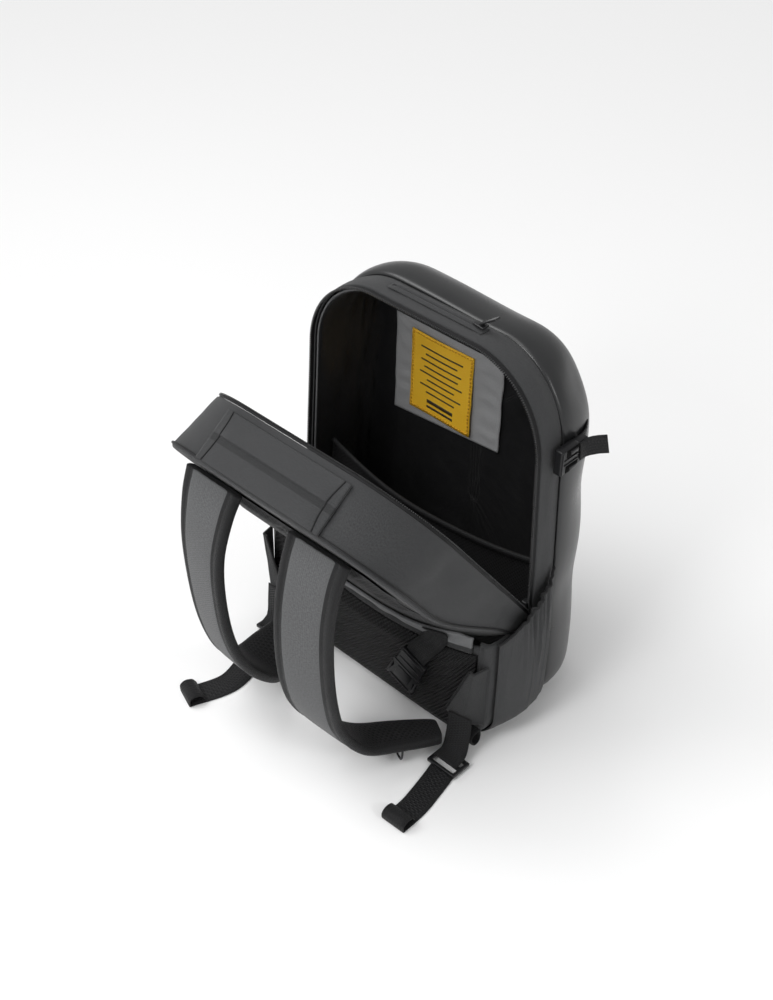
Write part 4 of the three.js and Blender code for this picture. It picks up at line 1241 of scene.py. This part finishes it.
def make_fold_strip():
    bm = grid(strip_point, 110, 18, (0.26, 0.03))
    middle = uv_middle(bm, 1)
    tint(bm, 1, lambda face: middle(face) < 0.0085)
    return piece("folded_seam_strip", outward(bm, Vector((0, 0, 0.12))), [fold_cloth, dark_cloth],
                 ["fold_strip"], wall=0.0022)


HANDLE_LENGTH, HANDLE_WIDTH, HANDLE_IN = 0.150, 0.050, 0.007
FOLD_SHADE_FIRST, FOLD_SHADE_LAST = 0.455, 0.60


def handle_point(s, t, lift=0.0):
    """The near half tucks down behind a fold line, which stands proud."""
    x = (s - 0.5) * HANDLE_LENGTH
    ends = smooth(7 * min(s, 1 - s))
    near = 0.0034 * smooth(t / 0.44) if t < 0.46 else 0.0009 + 0.0012 * swell((t - 0.46) / 0.54)
    ripple = 0.0007 * noise.noise(Vector((s * 4, t * 5, 3)))
    rise = GAP + mix(0.0003, near, ends) + 0.0022 * swell(s) * swell(t) + ripple * ends
    inwards = mix(HANDLE_IN, HANDLE_IN + HANDLE_WIDTH, t)
    return flap_point(x, FLAP_LENGTH + 0.0006 + 0.0025 + rise + lift, inwards)


def make_handle():
    bm = grid(handle_point, 70, 50, (HANDLE_LENGTH, HANDLE_WIDTH))
    middle = uv_middle(bm, 1)
    # The band just below the fold line takes the dark cloth as painted shade under the fold.
    tint(bm, 2, lambda face: FOLD_SHADE_FIRST < middle(face) / HANDLE_WIDTH < FOLD_SHADE_LAST)
    bm = thickened(outward(bm, flap_point(0, FLAP_LENGTH * 0.5, 0.03)), 0.0023)
    for end, bow in ((0.045, 0.02), (0.955, -0.02)):
        seam = [handle_point(end + bow * math.sin(math.pi * i / 12), i / 12, 0.0001)
                for i in range(13)]
        bm = joined(bm, tint(cord(seam, 0.0008, 40), 1))
    return piece("folded_grab_handle", bm, [outer_cloth, binding_cloth, dark_cloth],
                 ["grab_handle"])


strip_obj = make_fold_strip()
handle_obj = make_handle()

# %% [markdown]
# The shoulder straps are foam between a cloth face and a mesh back, closed by a binding. One
# profile holds all of that: its points run round the strap, and each column of faces gets the
# finish of the part it stands for. A groove in the profile is the line of stitches inside the
# binding. The stations say where the strap hangs, how wide it is and how it turns.

# %% Shoulder straps
STRAP_PROFILE = ((-0.40, 0.47), (-0.37, 0.36), (-0.34, 0.48), (-0.2, 0.52), (0.0, 0.53), (0.2, 0.52),
                 (0.34, 0.48), (0.37, 0.36), (0.40, 0.47), (0.455, 0.46), (0.49, 0.25), (0.5, 0.0),
                 (0.49, -0.25), (0.455, -0.42), (0.40, -0.42), (0.36, -0.48), (0.18, -0.5), (0.0, -0.5),
                 (-0.18, -0.5), (-0.36, -0.48), (-0.40, -0.42), (-0.455, -0.42), (-0.49, -0.25),
                 (-0.5, 0.0), (-0.49, 0.25), (-0.455, 0.46))
STRAP_STATIONS = (
    (0.49, 0.94, 0.93, 1.08, -0.02, 0.0), (0.49, 0.99, 0.85, 1.02, -0.06, 0.0),
    (0.49, 1.03, 0.72, 0.96, -0.14, 0.0), (0.48, 1.03, 0.56, 0.95, -0.18, 0.0),
    (0.47, 1.0, 0.40, 0.95, -0.16, 0.03), (0.46, 0.94, 0.27, 0.94, -0.06, 0.08),
    (0.48, 0.84, 0.16, 0.93, 0.14, 0.18), (0.55, 0.72, 0.085, 0.9, 0.4, 0.36),
    (0.68, 0.57, 0.065, 0.8, 0.55, 0.4), (0.83, 0.43, 0.06, 0.55, 0.6, 0.3),
)
STRAP_SPREAD = {1: 1.0, -1: 0.58}
STRAP_SPACING, STRAP_WIDTH, STRAP_THICKNESS = 0.134, 0.066, 0.011
CLOTH_COLUMNS, MESH_COLUMNS = range(2, 6), range(15, 20)
SIDES = {"right": 1, "left": -1}


def strap_stations(side):
    """Places, width directions and widths along one shoulder strap, from its top."""
    top = flap_point(0, FLAP_LENGTH, FLAP_DEPTH)
    first = STRAP_STATIONS[0][0]
    points, wides, widths = [], [], []
    for x, y, z, width, turn, lift in STRAP_STATIONS:
        across = mix(first, x, STRAP_SPREAD[side] if x > first else 1)
        points.append(Vector((side * across * STRAP_SPACING, y * top.y, z * top.z)))
        wides.append(Vector((1, -side * turn, side * lift)))
        widths.append(width * STRAP_WIDTH)
    return points, wides, widths


def make_shoulder_strap(side, name):
    points, wides, widths = strap_stations(side)
    points.append(points[-1] + (points[-1] - points[-2]).normalized() * 0.006)
    wides.append(wides[-1])
    widths.append(widths[-1] * 0.72)
    bm = band(points, wides, widths, STRAP_THICKNESS, STRAP_PROFILE, steps=110)
    middle = uv_middle(bm, 0)
    full = WAY_ROUND * max(widths)
    columns = len(STRAP_PROFILE)

    def column(face):
        return int(middle(face) / full * columns)

    tint(bm, 1, lambda f: len(f.verts) == 4 and column(f) not in CLOTH_COLUMNS)
    tint(bm, 2, lambda f: len(f.verts) == 4 and column(f) in MESH_COLUMNS)
    tint(bm, 1, lambda f: len(f.verts) > 4)
    return piece("shoulder_strap_cover_" + name, bm, [strap_cloth, binding_cloth, air_mesh],
                 ["shoulder_strap_" + name], levels=1)


straps = {name: make_shoulder_strap(side, name) for name, side in SIDES.items()}

# %% [markdown]
# On the bag's right side hangs a bottle pocket, gathered by the elastic in its bound edge. The
# gathers are a cosine along the top edge that dies out downwards. Two triangular tabs at the
# lower corners take the strap webbing, and they are folded cloth as well.

# %% Side pocket and anchor tabs
POCKET_FOOT, POCKET_TALL, POCKET_BELLY = 0.009, 0.150, 13


def side_pocket_point(s, t):
    """s runs from the back to the shell, t up to the gathered edge; out is in millimetres."""
    tall = POCKET_TALL * mix(0.84, 1.16, s)
    z = POCKET_FOOT + t * tall
    belly = max(math.sin(math.pi * s), 0) ** 0.6
    gathers = (1.5 * math.cos(22 * math.pi * s) * t ** 3
               + 1.3 * math.cos(9 * math.pi * s + 2 * t) * t) * smooth(2 * s - 0.2)
    drop = mix(0.75, 1, math.sin(math.pi * min(t * 1.1, 1)))
    soft = (1.6 * noise.noise(Vector((s * 3, t * 2, 8))) * swell(t)
            + 1.8 * crease(s * 6 - t, t * 1.2, 2, 6) * belly * swell(t))
    out = belly * (POCKET_BELLY * drop + gathers + soft) * min(1, 6 * t + 0.1)
    x = side_x(z) if z > BASE_RADIUS else outline(share_low(z))[0]
    return Vector((x + (2.4 + out) * MM, mix(-0.82 * BACK_DEPTH, GUSSET_DEPTH - 0.004, s), z))


def share_low(z):
    """The share of the way where the low corner reaches a height."""
    turn = math.acos(clamp((BASE_RADIUS - z) / BASE_RADIUS, -1, 1))
    return (RUNS[0][1] + BASE_RADIUS * turn) / (2 * HALF_WAY)


def make_side_pocket():
    bm = grid(side_pocket_point, 150, 60, (0.11, 0.15))
    bm = thickened(outward(bm, lambda c: Vector((0, c.y, c.z))), 0.0015)
    edge = [side_pocket_point(i / 90, 1.0) - Vector((0.0007, 0, 0)) for i in range(91)]
    bm = joined(bm, tint(cord(edge, 0.0015, 200, flat=1.3), 1))
    return piece("gathered_side_pocket", bm, [outer_cloth, binding_cloth],
                 ["side_pocket"])


def tab_point(side, s, t):
    """A triangular tab, from the box's side to the edge that takes the webbing."""
    x = mix(HALF - 0.002, mix(HALF - 0.012, HALF - 0.038, 1 - t), s)
    y = -mix(BACK_DEPTH - 0.004, BACK_DEPTH + 0.012, smooth(min(s * 2.2, 1)))
    soft = 0.0008 * noise.noise(Vector((s * 3, t * 3, side)))
    return Vector((side * x, y - 0.0018 + soft, mix(0.030 + 0.010 * s, 0.108, t)))


def make_tab(side, name):
    bm = grid(lambda s, t: tab_point(side, s, t), 24, 28, (0.04, 0.078))
    bm = thickened(outward(bm, Vector((0, 0, 0.07))), 0.0016)
    edge = [tab_point(side, 1.0, i / 16) for i in range(17)]
    bm = joined(bm, tint(cord(edge, 0.0013, 40), 1))
    return piece("anchor_tab_" + name, bm, [dark_cloth, binding_cloth],
                 ["anchor_" + name])


side_pocket_obj = make_side_pocket()
tabs = {name: make_tab(side, name) for name, side in SIDES.items()}

# %% [markdown]
# Webbing joins the tabs to the ladder locks, and its free ends lie on the floor, each rolled into
# a sewn loop. All of them are swept bands. The wire D-rings are round strands bent along the same
# bow as in the frame.

# %% Webbing and rings
TAB_OUT, LOW, STRAP_WEBBING = 72, 1.05, 0.027
STRAP_ROUTES = {1: [(132, 2.9, 46), (135, 8, 26), (138, 16, 11), (139, 30, 8.3)],
                -1: [(-124, 2.9, 46), (-122, 6, 28), (-118, 11, 12), (-114, 22, 8.3)]}
TAIL_ROUTES = {1: [(141, -106), (146, -130), (151, -158), (152, -184)],
               -1: [(-113, -95), (-108, -116), (-96, -146), (-91, -176), (-104, -214)]}
TAIL_LOOP = [(4, 2), (4, 8), (-1, 11.5), (-8, 10), (-12, 4.5)]


def make_strap_webbing(side, name):
    points = scaled([(x, -TAB_OUT - out, z) for x, out, z in STRAP_ROUTES[side]])
    webbing("lower_webbing_" + name, "strap_webbing_" + name, points, (1, side * 0.1, 0),
            STRAP_WEBBING)


def make_tail(side, name):
    flat = TAIL_ROUTES[side]
    before, end = (Vector((*p, 0)) for p in flat[-2:])
    run = (end - before).normalized()
    points = [(x, y, 3.2 - LOW if i == 0 else LOW) for i, (x, y) in enumerate(flat)]
    points += [(*(end + run * along)[:2], z) for along, z in TAIL_LOOP]
    wides = []
    for i in range(len(points)):
        a, b = flat[min(max(i - 1, 0), len(flat) - 2)], flat[min(i + 1, len(flat) - 1)]
        wides.append(Vector((-(b[1] - a[1]), b[0] - a[0], 0)).normalized())
    webbing("webbing_tail_cover_" + name, "webbing_tail_" + name, scaled(points), wides,
            STRAP_WEBBING, steps=90, floor=0.0002)


def make_ring(side, name):
    points, wides, _ = strap_stations(side)
    wide = wides[8].normalized()
    along = (points[9] - points[7]).normalized()
    down = along.cross(wide).normalized()
    seat = points[8] + wide * side * 0.009 + down * (STRAP_THICKNESS / 2 + 0.0008)
    bow = [(0.5, 0), (0.5, 0.5), (0.3, 0.94), (-0.3, 0.94), (-0.5, 0.5), (-0.5, 0), (0, 0), (0.5, 0)]
    path = [seat + wide * x * 0.0178 + down * y * 0.012 for x, y in bow]
    for place in path:
        place.z = max(place.z, 0.0013)
    bm = outward(strand(path, 0.0011, 10, 60), lambda c: nearest_on(path, c))
    piece("wire_ring_" + name, bm, [enamel], ["d_ring_" + name])


def nearest_on(path, place):
    """The nearest of many places along a path."""
    return min((Vector(table([tuple(p) for p in path], i / 60)) for i in range(61)),
               key=lambda p: (p - place).length)


for name, side in SIDES.items():
    make_strap_webbing(side, name)
    make_tail(side, name)
    make_ring(side, name)

# %% [markdown]
# Three shorter lengths of webbing close the bag. The compression strap on the right side comes
# out of the shell, where its end is sunk in, and past its buckle it ends in a free tail. The
# lumbar strap lies over the fold strip, square to the slope there, and hangs down to its buckle.
# A small loop is sewn into the base at the same corner.

# %% Side, lumbar and base webbing
HALF_WEBBING = 0.00075
SIDE_HEIGHT = 0.312
SIDE_IN = side_x(SIDE_HEIGHT)
BUCKLE_START, SOCKET_LENGTH, PLUG_LENGTH = 0.011, 0.024, 0.014
OFF_WALL, SOCKET_THICK, PLUG_THICK = 0.0042, 0.009, 0.008
STRIP_THICK, LUMBAR_X = 0.0025, 0.088


def shell_inset(y):
    """How far the shell has curved in from the outline, at a depth y."""
    deep = max((y - SHELL_START) / SHELL_DEPTH, 0)
    rows = SHELL_SECTION[1:]
    for (d0, i0), (d1, i1) in zip(rows, rows[1:]):
        if d1 > deep:
            return SHELL_EDGE * mix(i0, i1, (deep - d0) / (d1 - d0))
    return 0.0


def make_side_webbing():
    after = BUCKLE_START + SOCKET_LENGTH + PLUG_LENGTH + 2 * GAP
    points = [
        dented(Vector((SIDE_IN - shell_inset(after + run) + lift, after + run, SIDE_HEIGHT)))
        for run, lift in ((0, 0.0016), (0.007, 0.0014), (0.014, 0.0004), (0.021, -0.0016))]
    webbing("side_strap_webbing", "side_webbing", points, (0, 0, 1), 0.022)
    off_plug = SIDE_IN + OFF_WALL + PLUG_THICK + GAP + HALF_WEBBING
    spare = [Vector((off_plug + out, 0.045 + run, SIDE_HEIGHT + rise)) for out, run, rise in (
        (0, -0.008, 0.002), (0.001, 0, 0.003), (0.007, 0.006, 0.006), (0.015, 0.012, 0.008))]
    webbing("side_strap_tail", "side_webbing_tail", spare, (0, 0, 1), 0.020)


def make_lumbar_webbing():
    seat = -BACK_DEPTH - OFF_BACK - STRIP_THICK - GAP - HALF_WEBBING
    over_strip = (0.95, 0.55)
    points = [strip_point(0.845, t) + Vector((0, -0.0028, 0.0015)) for t in over_strip]
    points += [Vector((LUMBAR_X + across, seat - out, fold_z(LUMBAR_X) + rise))
               for across, out, rise in (
                   (0, 0.0016, -0.001), (-0.005, 0.0022, -0.009), (-0.010, 0.0062, -0.018),
                   (-0.015, 0.0084, -0.027), (-0.019, 0.0092, -0.035))]
    wides = [(strip_point(0.895, t) - strip_point(0.795, t)).normalized()
             for t in (*over_strip, 0.4)]
    wides += [Vector((1, 0, 0))] * 4
    webbing("lumbar_strap_webbing", "lumbar_webbing", points, wides, 0.025)


def make_base_loop():
    bend = scaled([(out, 0, 11 + up) for out, up in (
        (-2, 17), (-12, 16), (-14, 8), (-8.6, 1.2), (-2.8, 2.2), (-1.2, 9), (-2, 17))])
    points = [Vector((HALF - 0.0077, -BACK_DEPTH - GAP + p.x, p.z)) for p in bend]
    webbing("base_corner_loop", "floor_loop", points, (1, 0, 0), 0.011, thickness=0.0014, steps=60)


make_side_webbing()
make_lumbar_webbing()
make_base_loop()

# %% [markdown]
# Above the gusset lies a small zip pocket. Its raised lips are cloth, with a line of teeth sunk
# between them, and they carry a slider with a hinged tab.

# %% Top pocket zip
ZIP_LENGTH, ZIP_WIDTH, ZIP_Y = 0.112, 0.012, 0.55 * GUSSET_DEPTH
WELT_TEETH, TOOTH_STEP = 74, 0.00131
TOOTH_BLOCK = Matrix.Diagonal((0.0008, 0.0030, 0.0010, 1))


def welt_point(s, t):
    """Two raised lips, with a groove between them for the teeth."""
    groove = 0.9 * math.exp(-((t - 0.5) / 0.09) ** 2)
    lips = math.sin(math.pi * t) + 0.55 * abs(math.sin(2 * math.pi * t)) - groove
    ends = smooth(12 * min(s, 1 - s))
    return Vector(((s - 0.5) * ZIP_LENGTH, ZIP_Y + (t - 0.5) * ZIP_WIDTH,
                   HEIGHT + 0.0020 + 0.0014 * lips * ends))


def make_welt():
    bm = outward(grid(welt_point, 70, 16, (ZIP_LENGTH, ZIP_WIDTH)), Vector((0, 0.016, 0.2)))
    bm = thickened(bm, 0.0008)
    for i in range(WELT_TEETH):
        place = Matrix.Translation((-0.0545 + i * TOOTH_STEP, ZIP_Y, HEIGHT + 0.0021))
        bm = joined(bm, tint(block(place @ TOOTH_BLOCK), 1))
    piece("top_pocket_zip", bm, [outer_cloth, enamel], ["top_welt"])


make_welt()

# %% [markdown]
# The hard fittings keep the frame's own shapes, which are exact, and gain what moulding gives
# them: rounded edges. Each is a merged copy of the frame's solid with a bevel. The two larger
# buckles also get small bevelled bars: ribs and release prongs, and painted shade in the side
# buckle's windows. The tab on the top slider belongs to a body of its own, so that it can swing.

# %% Buckles, locks and sliders
LUMBAR_BUCKLE = (0.064, -0.0722, fold_z(LUMBAR_X) - 0.052)
LUMBAR_BARS = (
    ((0, 18, 7), (30, 2.4, 2.4)), ((0, 9, 7), (28, 1.6, 1.6)), ((0, 1.5, 7), (34, 2.0, 1.8)),
    ((0, -9, 7), (19, 14, 1.4)), ((0, -19, 7), (26, 1.8, 1.6)),
    ((16.5, -10, 5.6), (2.6, 15, 3.4)), ((-16.5, -10, 5.6), (2.6, 15, 3.4)),
)


def soften(bm, edges, offset, segments):
    """A bevel with every setting given."""
    bmesh.ops.bevel(bm, geom=edges, offset=offset, offset_type="OFFSET", segments=segments,
                    profile=0.5, affect="EDGES", clamp_overlap=True, material=-1)


def rounded(node, name, edge, material, body=BODY, extra=None):
    """A bevelled copy of a frame solid, with what extra adds to it."""
    source = nodes[node]
    bm = bmesh.new()
    bm.from_mesh(source.data)
    bm.transform(source.matrix_world)
    bmesh.ops.remove_doubles(bm, verts=bm.verts, dist=MERGE)
    bmesh.ops.dissolve_limit(bm, angle_limit=math.radians(2), verts=bm.verts, edges=bm.edges)
    sharp = [e for e in bm.edges if e.is_manifold and e.calc_face_angle() > math.radians(25)]
    soften(bm, sharp, edge, 3)
    bmesh.ops.recalc_face_normals(bm, faces=bm.faces)
    materials = [material]
    if extra:
        bm = extra(bm)
        materials.append(window_shade)
    obj = piece(name, bm, materials, [node], body=body)
    obj.data.set_sharp_from_angle(angle=math.radians(40))


def bar(centre, size):
    """A small bevelled bar, for moulded details."""
    bm = block(Matrix.Translation(centre) @ Matrix.Diagonal((*size, 1)))
    soften(bm, bm.edges[:], min(size) * 0.3, 2)
    return bm


def socket_details(bm):
    """Two long ribs, and beside them the prongs of the plug in their windows, which are painted shade.
    """
    face = SIDE_IN + OFF_WALL + SOCKET_THICK
    for side in (-1, 1):
        rib = bar((face, 0.0230, SIDE_HEIGHT + side * 0.0026), (0.0018, 0.0220, 0.0014))
        # Each window is a near-black bar: painted shade inside the socket.
        window = bar((face, 0.0262, SIDE_HEIGHT + side * 0.0083), (0.0008, 0.0165, 0.0078))
        prong = bar((face + 0.0004, 0.0275, SIDE_HEIGHT + side * 0.0086), (0.0026, 0.0110, 0.0042))
        bm = joined(bm, rib, tint(window, 1), prong)
    return joined(bm, bar((face, 0.0128, SIDE_HEIGHT), (0.0020, 0.0018, 0.0235)))


def lumbar_details(bm):
    """Cross bars, a raised middle and the two release prongs, in the buckle's tilted frame."""
    place = (Matrix.Translation(LUMBAR_BUCKLE) @ Matrix.Rotation(0.35, 4, "Y")
             @ Matrix.Rotation(math.pi / 2 - 0.12, 4, "X"))
    for centre, size in LUMBAR_BARS:
        part = bar((0, 0, 0), [v * MM for v in size])
        part.transform(place @ Matrix.Translation([v * MM for v in centre]))
        bm = joined(bm, part)
    return bm


for name in SIDES:
    rounded("ladder_lock_" + name, "moulded_ladder_lock_" + name, 0.0009, acetal)
rounded("side_buckle_socket", "side_release_socket", 0.0016, acetal, extra=socket_details)
rounded("side_buckle_plug", "side_release_plug", 0.0014, acetal)
rounded("lumbar_buckle", "lumbar_release_buckle", 0.0014, acetal, extra=lumbar_details)
rounded("top_slider", "top_zip_slider", 0.0006, enamel)
rounded("main_slider", "main_zip_slider", 0.0009, enamel)
rounded("top_pull", "top_zip_tab", 0.0005, enamel, body="pull")
